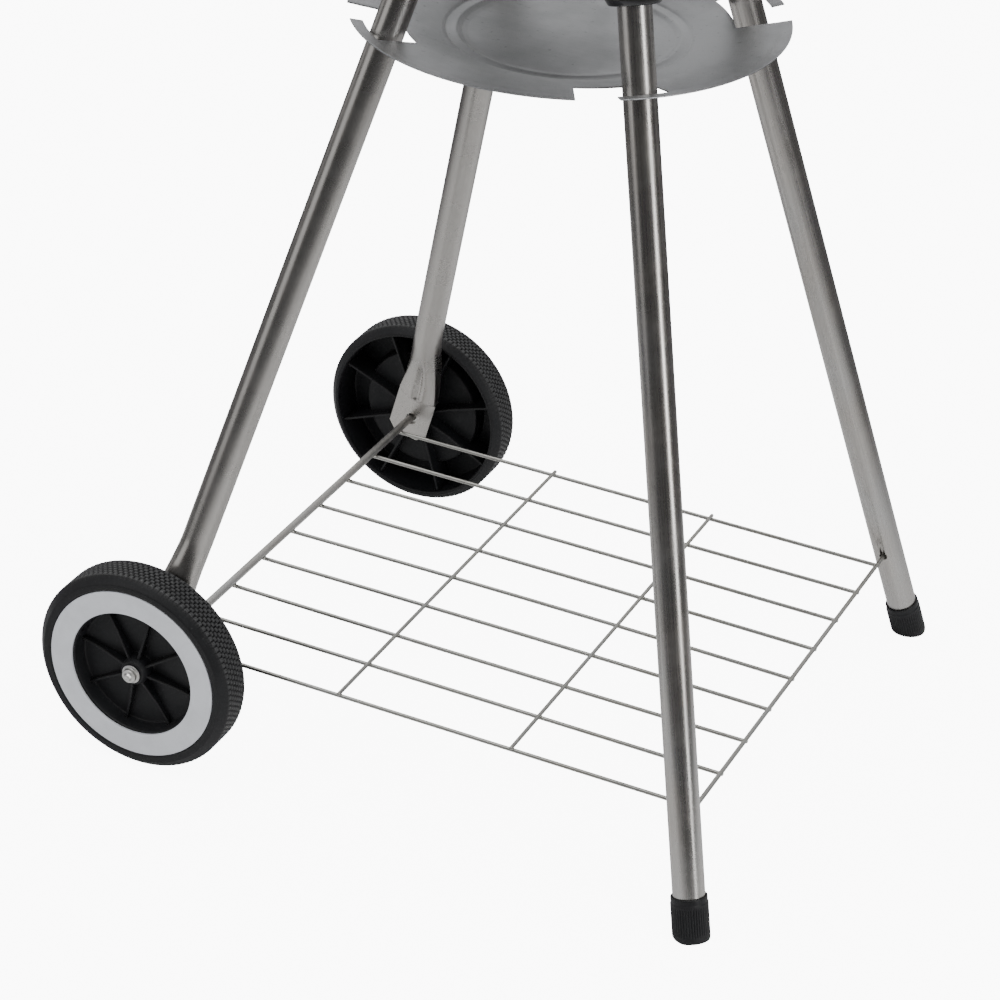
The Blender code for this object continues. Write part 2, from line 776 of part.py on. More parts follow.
def lid_arc(growth):
    """(r, z) down the outside of the lid from the pole to the skirt, grown by growth."""
    crown = arc(LID_SPHERE + growth, 0, LID_CROWN_ANGLE, 5, (0.0, LID_CENTRE.z))
    inset = LID_SPHERE - LID_SHOULDER
    centre = (inset * CROWN_SIN, LID_CENTRE.z + inset * CROWN_COS)
    shoulder = arc(LID_SHOULDER + growth, LID_CROWN_ANGLE, 90, 4, centre)
    return crown + shoulder[1:]


def bowl_envelope():
    """A solid just outside the bowl, which ends the pieces welded to it."""
    top = BOWL_RIM_Z + 0.02
    profile = [(0.0, top), (BOWL_RIM_R + GAP, top)] + bowl_arc(GAP)
    return add_cutter(turned("bowl_envelope", profile, SHELL_STEPS))


def lid_envelope():
    """A solid just outside the lid, which ends the pieces welded to it."""
    profile = lid_arc(GAP) + [(0.0, LID_BOTTOM_Z)]
    return add_cutter(turned("lid_envelope", profile, SHELL_STEPS))


def vent_frame(centre, axis):
    """Stands Z along a vent's axis and X along the grill's own X."""
    side = Vector((1, 0, 0))
    frame = Matrix((side, axis.cross(side), axis)).transposed()
    return Matrix.Translation(centre) @ frame.to_4x4()


def vent_places(frame, sphere, pitch):
    """Start and end points through a wall for four holes round an axis."""
    runs = []
    for i in range(4):
        angle = math.tau * (i + 0.5) / 4
        x = math.cos(angle) * pitch
        y = math.sin(angle) * pitch
        start = frame @ Vector((x, y, sphere - CUT_REACH))
        runs.append((start, frame @ Vector((x, y, sphere + CUT_REACH))))
    return runs


def cut_vent(obj, centre, axis, sphere, pitch, hole):
    """Cuts four air holes and the rivet's hole through a shell or damper."""
    runs = vent_places(vent_frame(centre, axis), sphere, pitch)
    air = struts(obj.name + "_air", runs, hole, 12)
    boolean(obj, add_cutter(air), "DIFFERENCE")
    rivet_run = (centre + axis * (sphere - CUT_REACH), centre + axis * (sphere + CUT_REACH))
    pin = struts(obj.name + "_pin", [rivet_run], RIVET_HOLE_R, 8)
    return boolean(obj, add_cutter(pin), "DIFFERENCE")


def bowl():
    profile = [(BOWL_FLANGE, BOWL_RIM_Z)] + bowl_arc(0.0)
    shell = thicken(turned("bowl", profile, SHELL_STEPS), SHEET, -1.0)
    cut_vent(shell, BOWL_CENTRE, DOWN, BOWL_SPHERE, BOWL_VENT_PITCH, BOWL_VENT_HOLE)
    return add_part(shell, BLACK_ENAMEL)


def lid():
    profile = lid_arc(0.0) + [(LID_RIM_R, LID_BOTTOM_Z), (LID_FLANGE, LID_BOTTOM_Z)]
    shell = thicken(turned("lid", profile, SHELL_STEPS), SHEET, -1.0)
    cut_vent(shell, LID_CENTRE, LID_VENT_AXIS, LID_SPHERE, LID_VENT_PITCH, LID_VENT_HOLE)
    return add_part(shell, BLACK_ENAMEL)


def damper(name, centre, axis, sphere, disc, pitch, hole, tab, tab_side):
    """A dished disc that turns on the wall's outer side, with a thumb tab."""
    inner = sphere + DAMPER_GAP
    edge = math.degrees(math.asin(disc / inner))
    frame = vent_frame(centre, axis)
    shell = turned(name, arc(inner, 0, edge, 2), 24)
    shell.matrix_world = frame
    thicken(shell, DAMPER_SHEET, 1.0)
    root = inner * math.cos(math.radians(edge)) + TAB_THICK
    height = root + tab / 2 * math.sin(TAB_LIFT)
    place = Matrix.Translation((0, tab_side * (disc + tab / 2 - 0.003), height))
    lift = Matrix.Rotation(tab_side * TAB_LIFT, 4, "X")
    size = Matrix.Diagonal((TAB_WIDTH, tab, TAB_THICK, 1.0))
    bm = bmesh.new()
    bmesh.ops.create_cube(bm, size=1.0, matrix=place @ lift @ size)
    thumb = add_cutter(from_bmesh(name + "_tab", bm))
    thumb.matrix_world = frame
    boolean(shell, thumb, "UNION")
    cut_vent(shell, centre, axis, sphere, pitch, hole)
    return add_part(shell, BRIGHT_ZINC)


def vent_rivet(name, centre, axis, sphere):
    """The rivet a damper turns on, with a head on either side of the wall."""
    outer = sphere + DAMPER_GAP + DAMPER_SHEET + GAP
    inner = sphere - SHEET - GAP - WALL_SAG
    profile = [
        (0.0, outer + 0.0022),
        (0.0030, outer + 0.0018),
        (0.0050, outer),
        (RIVET_R, outer),
        (RIVET_R, inner),
        (0.0045, inner),
        (0.0045, inner - 0.0012),
        (0.0, inner - 0.0012),
    ]
    return add_part(along(turned(name, profile, 12), centre, axis), BRIGHT_ZINC)


# ---- grates ----
def chord(radius, offset):
    return math.sqrt(radius**2 - offset**2)


def cooking_grate():
    """A wire ring with parallel bars, two bars under them and two lifting loops."""
    bpy.ops.mesh.primitive_torus_add(
        major_segments=32,
        minor_segments=5,
        major_radius=COOK_RING_R,
        minor_radius=COOK_RING_WIRE,
        location=(0, 0, COOK_Z),
    )
    ring = bpy.context.active_object
    ring.name = "cooking_grate"
    runs = []
    for i in range(COOK_BARS):
        y = (i - (COOK_BARS - 1) / 2) * COOK_BAR_PITCH
        half = chord(COOK_RING_R, y) - 0.0005
        runs.append(((-half, y, COOK_Z), (half, y, COOK_Z)))
    bars = struts("cooking_bars", runs, COOK_BAR_R, 4)
    boolean(ring, add_cutter(bars), "UNION")
    runs = []
    brace_z = COOK_Z - 2 * COOK_BAR_R + WELD
    for x in (-COOK_BRACE_X, COOK_BRACE_X):
        half = chord(COOK_RING_R, x)
        runs.append(((x, -half, brace_z), (x, half, brace_z)))
    braces = struts("cooking_braces", runs, COOK_BAR_R, 4)
    boolean(ring, add_cutter(braces), "UNION")
    for side in (-1, 1):
        foot = side * chord(COOK_RING_R, LOOP_HALF_WIDTH)
        inset = side * LOOP_INSET
        high = COOK_Z + LOOP_RISE
        path = [
            (foot, -LOOP_HALF_WIDTH, COOK_Z),
            (inset, -LOOP_HALF_WIDTH, high),
            (inset, LOOP_HALF_WIDTH, high),
            (foot, LOOP_HALF_WIDTH, COOK_Z),
        ]
        loop = as_mesh(rod("grate_loop_%d" % side, path, LOOP_WIRE_R, GRATE_STEEL, 1))
        boolean(ring, add_cutter(loop), "UNION")
    return add_part(ring, GRATE_STEEL)


def charcoal_grate():
    """Parallel round bars on two cross bars, resting low in the bowl."""
    runs = []
    for x in (-COAL_BRACE_X, COAL_BRACE_X):
        half = chord(COAL_R, x)
        z = COAL_Z - 2 * COAL_BAR_R + WELD
        runs.append(((x, -half, z), (x, half, z)))
    grate = struts("charcoal_grate", runs, COAL_BAR_R, 6)
    runs = []
    for i in range(COAL_BARS):
        y = (i - (COAL_BARS - 1) / 2) * COAL_BAR_PITCH
        half = chord(COAL_R, y)
        runs.append(((-half, y, COAL_Z), (half, y, COAL_Z)))
    bars = struts("charcoal_bars", runs, COAL_BAR_R, 6)
    boolean(grate, add_cutter(bars), "UNION")
    return add_part(grate, GRATE_STEEL)


def grate_support(name, degrees):
    """A bent wire inside the bowl that carries the cooking grate."""
    turn = Matrix.Rotation(math.radians(degrees), 4, "Z")
    z = COOK_Z - COOK_RING_WIRE - GAP - LOOP_WIRE_R
    half = SUPPORT_HALF_WIDTH
    path = [
        (SUPPORT_WALL, -half, z),
        (SUPPORT_INSET, -half, z),
        (SUPPORT_INSET, half, z),
        (SUPPORT_WALL, half, z),
    ]
    return rod(name, [turn @ Vector(p) for p in path], LOOP_WIRE_R, GRATE_STEEL, 1)


# ---- handles ----
def grip(name, place, look):
    """A turned wooden sleeve round a handle's rod, lying along Y."""
    bore = ROD_R + GAP
    half = GRIP_HALF_LENGTH
    profile = [
        (bore, half),
        (GRIP_END_R - 0.001, half),
        (GRIP_END_R, half - GRIP_CHAMFER),
        (GRIP_R, half * 0.35),
        (GRIP_R, -half * 0.35),
        (GRIP_END_R, -half + GRIP_CHAMFER),
        (GRIP_END_R - 0.001, -half),
        (bore, -half),
    ]
    sleeve = turned(name, profile, 16, closed=True)
    sleeve.location = place
    sleeve.rotation_euler = (math.radians(90), 0, 0)
    return add_part(sleeve, look)


def bowl_handle(name, side, envelope):
    reach = side * (HANDLE_REACH - GRIP_R)
    root = side * 0.200
    path = [
        (root, -ROD_HALF_SPAN, BOWL_HANDLE_Z),
        (reach, -ROD_HALF_SPAN, BOWL_HANDLE_Z),
        (reach, ROD_HALF_SPAN, BOWL_HANDLE_Z),
        (root, ROD_HALF_SPAN, BOWL_HANDLE_Z),
    ]
    bent = as_mesh(rod(name + "_rod", rounded(path, ROD_BEND), ROD_R, BRIGHT_ZINC))
    boolean(bent, envelope, "DIFFERENCE")
    grip(name + "_grip", (reach, 0, BOWL_HANDLE_Z), GRIP_WOOD)


def lid_handle(envelope):
    height = LID_TOP_Z + LID_HANDLE_RISE
    root = LID_TOP_Z - 0.030
    path = [
        (0, -ROD_HALF_SPAN, root),
        (0, -ROD_HALF_SPAN, height),
        (0, ROD_HALF_SPAN, height),
        (0, ROD_HALF_SPAN, root),
    ]
    bent = as_mesh(rod("lid_handle_rod", rounded(path, ROD_BEND), ROD_R, BRIGHT_ZINC))
    boolean(bent, envelope, "DIFFERENCE")
    grip("lid_handle_grip", (0, 0, height), GRIP_WOOD)


# ---- assembly ----
def build():
    around_bowl = bowl_envelope()
    around_lid = lid_envelope()
    for side_y, end in ((-1, "front"), (1, "back")):
        wheel_leg("leg_left_" + end, side_y)
        straight_leg("leg_right_" + end, side_y)
        foot_cap("foot_cap_" + end, side_y)
        wheel("wheel_" + end, side_y)
        wheel_ring("wheel_ring_" + end, side_y)
        wheel_washer("wheel_washer_" + end, side_y)
        axle_cap("axle_cap_" + end, side_y)
        for side_x, flank in ((-1, "left"), (1, "right")):
            place = flank + "_" + end
            leg_socket("leg_socket_" + place, side_x, side_y, around_bowl)
            leg_screw("leg_screw_" + place, side_x, side_y)
    axle()
    rack()
    ash_pan()
    bowl()
    damper("bowl_damper", BOWL_CENTRE, DOWN, BOWL_SPHERE, *BOWL_VENT)
    vent_rivet("bowl_damper_rivet", BOWL_CENTRE, DOWN, BOWL_SPHERE)
    charcoal_grate()
    cooking_grate()
    for i in range(4):
        grate_support("grate_support_%d" % (i + 1), 90 * i + 45)
    bowl_handle("bowl_handle_left", -1, around_bowl)
    bowl_handle("bowl_handle_right", 1, around_bowl)
    lid()
    lid_handle(around_lid)
    damper("lid_damper", LID_CENTRE, LID_VENT_AXIS, LID_SPHERE, *LID_VENT)
    vent_rivet("lid_damper_rivet", LID_CENTRE, LID_VENT_AXIS, LID_SPHERE)


build()
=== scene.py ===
"""Kettle charcoal grill: finished pieces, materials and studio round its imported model.

Every new piece is a closed surface worked out on a grid of points: a profile turned round
an axis, or a section carried along a path. The bowl's axis is Z and the floor is z = 0.
"""

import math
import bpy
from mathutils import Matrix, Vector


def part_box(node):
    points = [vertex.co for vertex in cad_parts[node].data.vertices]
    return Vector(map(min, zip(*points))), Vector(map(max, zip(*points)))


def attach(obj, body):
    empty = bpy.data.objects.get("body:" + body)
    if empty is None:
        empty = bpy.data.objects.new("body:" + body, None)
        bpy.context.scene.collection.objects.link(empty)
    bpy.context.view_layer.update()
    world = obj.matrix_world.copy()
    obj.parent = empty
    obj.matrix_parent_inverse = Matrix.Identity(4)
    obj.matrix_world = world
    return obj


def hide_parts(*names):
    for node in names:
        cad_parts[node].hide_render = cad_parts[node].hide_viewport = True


bl_info = {
    "name": "Kettle Charcoal Grill",
    "version": (1, 0, 0),
    "blender": (4, 5, 0),
    "location": "View3D > Sidebar > Grill",
    "description": "Builds a kettle grill's finished pieces, materials and studio",
    "category": "Object",
}

import bpy
import numpy as np
from bpy.props import FloatProperty, FloatVectorProperty, IntProperty, PointerProperty
from bpy.types import Operator, Panel, PropertyGroup
from mathutils import Matrix, Vector

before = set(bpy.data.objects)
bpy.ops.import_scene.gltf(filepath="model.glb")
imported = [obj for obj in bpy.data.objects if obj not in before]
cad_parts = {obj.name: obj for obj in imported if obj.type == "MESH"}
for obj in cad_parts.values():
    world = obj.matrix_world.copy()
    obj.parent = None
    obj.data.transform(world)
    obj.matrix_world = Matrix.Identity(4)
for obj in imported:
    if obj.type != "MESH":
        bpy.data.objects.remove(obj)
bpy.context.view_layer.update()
TURN = 2 * np.pi
X, Y, Z = np.eye(3)
ENDS = (("front", -1), ("back", 1))
FLANKS = (("left", -1), ("right", 1))
GAP = 0.0003  # left between pieces that touch
SHEET = 0.0010  # pressed sheet of the pan, bowl, lid and dampers
RIM_BEAD = 0.0021  # radius of the rolled rims
BOWL_OPEN = 0.2250  # radius of the bowl's opening, inside its rolled rim
LID_CROWN = 0.310  # radius of the lid's crown
AROUND_TUBE = 144  # points round a leg tube
TUBE_GRAIN = 0.011  # radius at which a leg's finish is laid round it
HANDLE_REACH_Y = 0.052  # half the span of a handle's rod


def box_size(node):
    """The lowest corner, highest corner and size of a node's box, as arrays."""
    low, high = (np.array(corner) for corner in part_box(node))
    return low, high, high - low


WHEEL_LOW, WHEEL_HIGH, WHEEL_SIZE = box_size("wheel_back")
_, PAN_HIGH, _ = box_size("ash_pan")
BOWL_LOW, BOWL_HIGH, BOWL_SIZE = box_size("bowl")
LID_LOW, LID_HIGH, _ = box_size("lid")
RACK_LOW, RACK_HIGH, RACK_SIZE = box_size("rack")
_, COOK_HIGH, _ = box_size("cooking_grate")
_, COAL_HIGH, _ = box_size("charcoal_grate")
AXLE = (WHEEL_LOW + WHEEL_HIGH) / 2 * (1, 0, 1)


# ---- sizes and colours a user would change ----
def length(name, description, default):
    """A length in metres."""
    return FloatProperty(
        name=name, description=description, default=default, min=0.0, unit="LENGTH",
        precision=4,
    )


def colour(name, description, default):
    """A linear colour."""
    return FloatVectorProperty(
        name=name, description=description, default=default, min=0.0, max=1.0,
        subtype="COLOR",
    )


class GrillLegSizes(PropertyGroup):
    """Tubes, their sockets and their feet."""

    floor_x: length("Floor X", "Where a leg's centre line meets the floor", 0.220)
    floor_y: length("Floor Y", "Where a leg's centre line meets the floor", 0.215)
    top: length("Top", "X and Y of the centre lines at their upper ends", 0.070)
    top_z: length("Top Height", "Height of the upper ends", 0.600)
    radius: length("Tube Radius", "Outside radius of the tubes", 0.011)
    wall: length("Tube Wall", "Wall of the tubes", 0.0012)
    flat_thick: length("Flat Thickness", "Thickness of the flattened ends", 0.0027)
    socket_radius: length("Socket Radius", "Outside radius of the sockets", 0.0185)
    socket_mouth: length("Socket Mouth", "Height of the sockets' mouths", 0.576)
    screw_height: length("Screw Height", "Height of the leg screws", 0.588)
    cap_radius: length("Cap Radius", "Outside radius of the foot caps", 0.0128)
    cap_ribs: IntProperty(
        name="Cap Ribs", description="Fine ribs round a foot cap", default=44, min=8
    )


class GrillWheelSizes(PropertyGroup):
    """Wheels, trim rings, axle and its caps."""

    blocks: IntProperty(
        name="Tread Blocks", description="Blocks round the tread", default=112, min=24
    )
    rows: IntProperty(
        name="Tread Rows", description="Rows of blocks across the tread", default=7, min=2
    )
    groove: length("Groove Depth", "Depth between the tread's blocks", 0.0011)
    rib_count: IntProperty(name="Ribs", description="Ribs in a wheel", default=8, min=3)
    rib_thick: length("Rib Thickness", "Thickness of a rib", 0.0016)
    web_radius: length("Web Radius", "Radius of the recessed web", 0.0455)
    hub_radius: length("Hub Radius", "Radius of the hub tube", 0.010)
    ring_in: length("Ring Inside", "Inner radius of the trim ring", 0.0478)
    ring_out: length("Ring Outside", "Outer radius of the trim ring", 0.0646)


class GrillColours(PropertyGroup):
    """Base colours of the finishes."""

    tube: colour("Tube Steel", "Polished tube", (0.50, 0.49, 0.475))
    wire: colour("Wire Steel", "Drawn wire", (0.41, 0.41, 0.395))
    pan: colour("Pan Metal", "Matt rolled sheet", (0.46, 0.468, 0.48))
    enamel: colour("Enamel", "Black enamel", (0.012, 0.012, 0.013))
    plastic: colour("Black Plastic", "Moulded wheel and cap plastic", (0.0075, 0.0075, 0.0085))
    ring: colour("Trim Ring", "Pale trim rings", (0.60, 0.61, 0.64))
    zinc: colour("Zinc", "Bright plated small parts", (0.64, 0.64, 0.63))
    grate: colour("Grate", "Plated grate wire", (0.58, 0.58, 0.575))
    wood: colour("Grip Wood", "Oiled wooden grips", (0.33, 0.155, 0.062))


class GrillStageSizes(PropertyGroup):
    """Camera, floor and lights."""

    azimuth: FloatProperty(
        name="Azimuth", description="Camera direction, from -Y towards +X",
        default=math.radians(24.27), subtype="ANGLE",
    )
    elevation: FloatProperty(
        name="Elevation", description="Camera height above the horizon",
        default=math.radians(30.39), subtype="ANGLE",
    )
    roll: FloatProperty(
        name="Roll", description="Camera turned about its own line of sight",
        default=math.radians(3.0), subtype="ANGLE",
    )
    distance: length("Distance", "From the camera to the point it looks at", 2.2856)
    target: FloatVectorProperty(
        name="Target", description="The point the camera looks at",
        default=(-0.0318, 0.0, 0.1491), subtype="TRANSLATION", unit="LENGTH",
    )
    lens: FloatProperty(
        name="Lens", description="Focal length on a 36 mm sensor", default=114.63,
        unit="CAMERA",
    )


GROUPS = {
    "grill_legs": GrillLegSizes,
    "grill_wheels": GrillWheelSizes,
    "grill_colours": GrillColours,
    "grill_stage": GrillStageSizes,
}


# ---- surfaces ----
def unit(vector):
    """A vector, or rows of vectors, at length one."""
    return vector / np.linalg.norm(vector, axis=-1, keepdims=True)


def basis(axis):
    """Two unit vectors square to an axis, and the axis: side, front, axis."""
    axis = unit(np.array(axis, float))
    side = unit(np.cross(axis, X if abs(axis[0]) < 0.6 else Y))
    return side, np.cross(axis, side), axis


def closed(points, local=None, ring=False):
    """A closed solid from rows of points that each go once round.

    Quads join each point to its neighbours. Points that coincide become one, so a row
    that has shrunk to a pole closes the surface. With ring the last row joins the first.
    local holds each point's place in the piece's own straight coordinates.
    """
    rows, columns = points.shape[:2]
    local = points if local is None else np.broadcast_to(local, points.shape)
    place = np.arange(rows * columns).reshape(rows, columns)
    place = np.concatenate([place, place[:, :1]], axis=1)
    if ring:
        place = np.concatenate([place, place[:1]])
    corners = (place[:-1, :-1], place[:-1, 1:], place[1:, 1:], place[1:, :-1])
    quads = np.stack([corner.ravel() for corner in corners], axis=1)
    flat = points.reshape(-1, 3)
    _, first, same = np.unique(
        np.round(flat * 2e6).astype(np.int64), axis=0, return_index=True, return_inverse=True
    )
    quads = same.reshape(-1)[quads]
    points, local = flat[first], local.reshape(-1, 3)[first]
    distinct = quads != np.roll(quads, -1, axis=1)
    count = distinct.sum(axis=1)
    triangles = quads[count == 3][distinct[count == 3]].reshape(-1, 3)
    quads = quads[count == 4]
    fans = np.concatenate([quads[:, [0, 1, 2]], quads[:, [0, 2, 3]], triangles])
    a, b, c = (points[fans[:, i]] - points.mean(axis=0) for i in range(3))
    if np.einsum("ij,ij->", a, np.cross(b, c)) < 0:
        quads, triangles = quads[:, ::-1], triangles[:, ::-1]
    return points, local, quads, triangles


def turned(profile, around, place, axis=Z, ring=False, radial=None, spin=0.0):
    """A profile of (radius, height) turned round an axis: place + height x axis
    + radius x (cosine x side + sine x front). radial(angle, height, radius) may change
    the radius over the grid."""
    side, front, axis = basis(axis)
    profile = np.array(profile, float)
    angle = spin + TURN * np.arange(around) / around
    radius = np.repeat(profile[:, :1], around, axis=1)
    height = np.repeat(profile[:, 1:], around, axis=1)
    if radial is not None:
        radius = radial(angle[None, :], height, radius)
    local = np.stack([radius * np.cos(angle), radius * np.sin(angle), height], axis=-1)
    return closed(np.array(place) + local @ np.stack([side, front, axis]), local, ring)


def bar(path, radius, side=Z, around=12, dome=1.0):
    """A round bar along a path that lies square to side, or nearly: path point + radius
    x (cosine x side + sine x across). Its ends close along a quarter of an ellipse."""
    path = np.array(path, float)
    ahead = unit(np.gradient(path, axis=0))
    share = np.radians([90.0, 60.0, 30.0])
    shrink = np.concatenate([np.cos(share), np.ones(len(path)), np.cos(share[::-1])])
    start = path[:1] - ahead[:1] * (np.sin(share) * radius * dome)[:, None]
    end = path[-1:] + ahead[-1:] * (np.sin(share[::-1]) * radius * dome)[:, None]
    ahead = np.concatenate([ahead[:1].repeat(3, 0), ahead, ahead[-1:].repeat(3, 0)])
    path = np.concatenate([start, path, end])
    across = unit(np.cross(ahead, np.array(side, float)))
    upper = np.cross(across, ahead)
    angle = TURN * np.arange(around) / around
    out = np.cos(angle)[None, :, None] * upper[:, None] + np.sin(angle)[None, :, None] * across[:, None]
    size = (radius * shrink)[:, None, None]
    steps = np.linalg.norm(np.diff(path, axis=0, prepend=path[:1]), axis=1).cumsum()
    local = np.stack(
        [
            np.cos(angle) * size[..., 0],
            np.sin(angle) * size[..., 0],
            np.repeat(steps[:, None], around, axis=1),
        ],
        axis=-1,
    )
    return closed(path[:, None] + out * size, local)


def straight(start, end, count=2):
    """Evenly spaced points from start to end."""
    share = np.linspace(0, 1, count)[:, None]
    return np.array(start, float) * (1 - share) + np.array(end, float) * share


def bent(points, radius, steps=8):
    """A path through points with every inner corner turned into an arc: the arc's centre
    lies on the corner's bisector, radius away from both straight runs."""
    points = np.array(points, float)
    path = [points[:1]]
    for before, corner, after in zip(points, points[1:], points[2:]):
        back, ahead = unit(before - corner), unit(after - corner)
        half = math.acos(np.clip(back @ ahead, -1, 1)) / 2
        centre = corner + unit(back + ahead) * radius / math.sin(half)
        first = unit(corner + back * radius / math.tan(half) - centre)
        last = unit(corner + ahead * radius / math.tan(half) - centre)
        sweep = math.acos(np.clip(first @ last, -1, 1))
        share = np.linspace(0, 1, steps)[:, None]
        arc = (np.sin((1 - share) * sweep) * first + np.sin(share * sweep) * last) / math.sin(sweep)
        path.append(centre + arc * radius)
    path.append(points[-1:])
    return np.concatenate(path)


def softened(points, radius, steps=4):
    """A profile of (radius, height) with its inner corners rounded by small arcs."""
    flat = np.array(points, float)
    spaced = np.stack([flat[:, 0], np.zeros(len(flat)), flat[:, 1]], axis=1)
    path = [spaced[:1]]
    for before, corner, after in zip(spaced, spaced[1:], spaced[2:]):
        shortest = min(np.linalg.norm(before - corner), np.linalg.norm(after - corner))
        turn = math.acos(np.clip(unit(corner - before) @ unit(after - corner), -1, 1))
        if turn < 0.05:
            path.append(corner[None])
            continue
        fit = min(radius, 0.45 * shortest / math.tan(turn / 2))
        path.append(bent([before, corner, after], fit, steps)[1:-1])
    path.append(spaced[-1:])
    return np.concatenate(path)[:, [0, 2]]


def dense(profile, spacing):
    """A profile with points added so that none are further apart than spacing."""
    made = []
    for start, end in zip(profile, profile[1:]):
        count = max(1, math.ceil(math.dist(start, end) / spacing))
        made.append(straight(start, end, count + 1)[:-1])
    made.append(np.array(profile[-1:], float))
    return np.concatenate(made)


def smooth_step(value, low, high):
    """0 below low, 1 above high, and a smooth S between them."""
    share = np.clip((value - low) / (high - low), 0, 1)
    return share * share * (3 - 2 * share)


def finish_mesh(name, mesh, body, nodes, slot, sharp, look=None):
    """Names, shades and mounts a finished mesh on its body, in the place of its nodes. Its
    finish is the slot's own unless another is named."""
    mesh.shade_smooth()
    mesh.set_sharp_from_angle(angle=math.radians(sharp))
    mesh.materials.clear()
    mesh.materials.append(LOOKS[look or slot])
    piece = bpy.data.objects.new(name, mesh)
    bpy.context.scene.collection.objects.link(piece)
    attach(piece, body)
    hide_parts(*nodes)
    return piece


def joined(name, solids):
    """One mesh of several closed solids, with their local places as a point attribute."""
    points, locals_, faces, offset = [], [], [], 0
    for place, local, quads, triangles in solids:
        points.append(place)
        locals_.append(local)
        faces += (quads + offset).tolist()
        faces += (triangles + offset).tolist()
        offset += len(place)
    mesh = bpy.data.meshes.new(name)
    mesh.from_pydata(np.concatenate(points).tolist(), [], faces)
    grain = mesh.attributes.new("grain", "FLOAT_VECTOR", "POINT")
    grain.data.foreach_set("vector", np.concatenate(locals_).astype(np.float32).ravel())
    return mesh


def make_piece(name, solids, body, nodes, slot, sharp=32, look=None):
    """A finished piece from closed solids, in the place of its CAD nodes."""
    return finish_mesh(name, joined(name, solids), body, nodes, slot, sharp, look)


def drilled(name, solids, runs):
    """A mesh of solids with round holes cut through it: (start, end, radius) each."""
    body = bpy.data.objects.new(name, joined(name, solids))
    drills = [closed_rod(*run) for run in runs]
    cutter = bpy.data.objects.new(name + "_drills", joined(name + "_drills", drills))
    for obj in (body, cutter):
        bpy.context.scene.collection.objects.link(obj)
    step = body.modifiers.new("drill", "BOOLEAN")
    step.operation = "DIFFERENCE"
    step.solver = "EXACT"
    step.object = cutter
    bpy.context.view_layer.update()
    graph = bpy.context.evaluated_depsgraph_get()
    mesh = bpy.data.meshes.new_from_object(body.evaluated_get(graph))
    mesh.name = name
    for obj in (body, cutter):
        old = obj.data
        bpy.data.objects.remove(obj)
        bpy.data.meshes.remove(old)
    return mesh


def closed_rod(start, end, radius, around=40):
    """A plain round rod with flat ends: a four-row profile turned round its own line."""
    start, end = np.array(start, float), np.array(end, float)
    long = np.linalg.norm(end - start)
    profile = [(0, 0), (radius, 0), (radius, long), (0, long)]
    return turned(profile, around, start, end - start)


# ---- shader groups ----
def new_group(name, inputs, outputs):
    """An empty shader group with named sockets: (name, kind, default) each."""
    group = bpy.data.node_groups.new(name, "ShaderNodeTree")
    for label, kind, default in inputs:
        socket = group.interface.new_socket(label, in_out="INPUT", socket_type=kind)
        if default is not None:
            socket.default_value = default
    for label, kind in outputs:
        group.interface.new_socket(label, in_out="OUTPUT", socket_type=kind)
    return group, group.nodes.new("NodeGroupInput"), group.nodes.new("NodeGroupOutput")


def noise(tree, vector, scale, detail=3.0, roughness=0.55):
    """A noise texture; scale may be a number or a socket."""
    node = tree.nodes.new("ShaderNodeTexNoise")
    node.inputs["Detail"].default_value = detail
    node.inputs["Roughness"].default_value = roughness
    tree.links.new(vector, node.inputs["Vector"])
    if isinstance(scale, (int, float)):
        node.inputs["Scale"].default_value = scale
    else:
        tree.links.new(scale, node.inputs["Scale"])
    return node.outputs["Fac"]


def remap(tree, value, low, high, new_low=0.0, new_high=1.0):
    """Maps low..high to new_low..new_high and holds it there."""
    node = tree.nodes.new("ShaderNodeMapRange")
    tree.links.new(value, node.inputs["Value"])
    for label, number in (
        ("From Min", low), ("From Max", high), ("To Min", new_low), ("To Max", new_high),
    ):
        if isinstance(number, (int, float)):
            node.inputs[label].default_value = number
        else:
            tree.links.new(number, node.inputs[label])
    return node.outputs["Result"]


def maths(tree, operation, first, second=None, third=None):
    """A maths node on numbers or sockets."""
    node = tree.nodes.new("ShaderNodeMath")
    node.operation = operation
    for socket, value in zip(node.inputs, (first, second, third)):
        if value is None:
            continue
        if isinstance(value, (int, float)):
            socket.default_value = value
        else:
            tree.links.new(value, socket)
    return node.outputs[0]


def mixed(tree, factor, first, second, blend="MIX"):
    """A colour mix of two colours or sockets."""
    node = tree.nodes.new("ShaderNodeMix")
    node.data_type = "RGBA"
    node.blend_type = blend
    for socket, value in ((node.inputs[0], factor), (node.inputs[6], first), (node.inputs[7], second)):
        if isinstance(value, (int, float)):
            socket.default_value = value
        elif isinstance(value, tuple):
            socket.default_value = (*value, 1.0)
        else:
            tree.links.new(value, socket)
    return node.outputs[2]


def stretched(tree, vector, scale):
    """A vector scaled along each of its axes."""
    node = tree.nodes.new("ShaderNodeMapping")
    node.inputs["Scale"].default_value = scale
    tree.links.new(vector, node.inputs["Vector"])
    return node.outputs["Vector"]


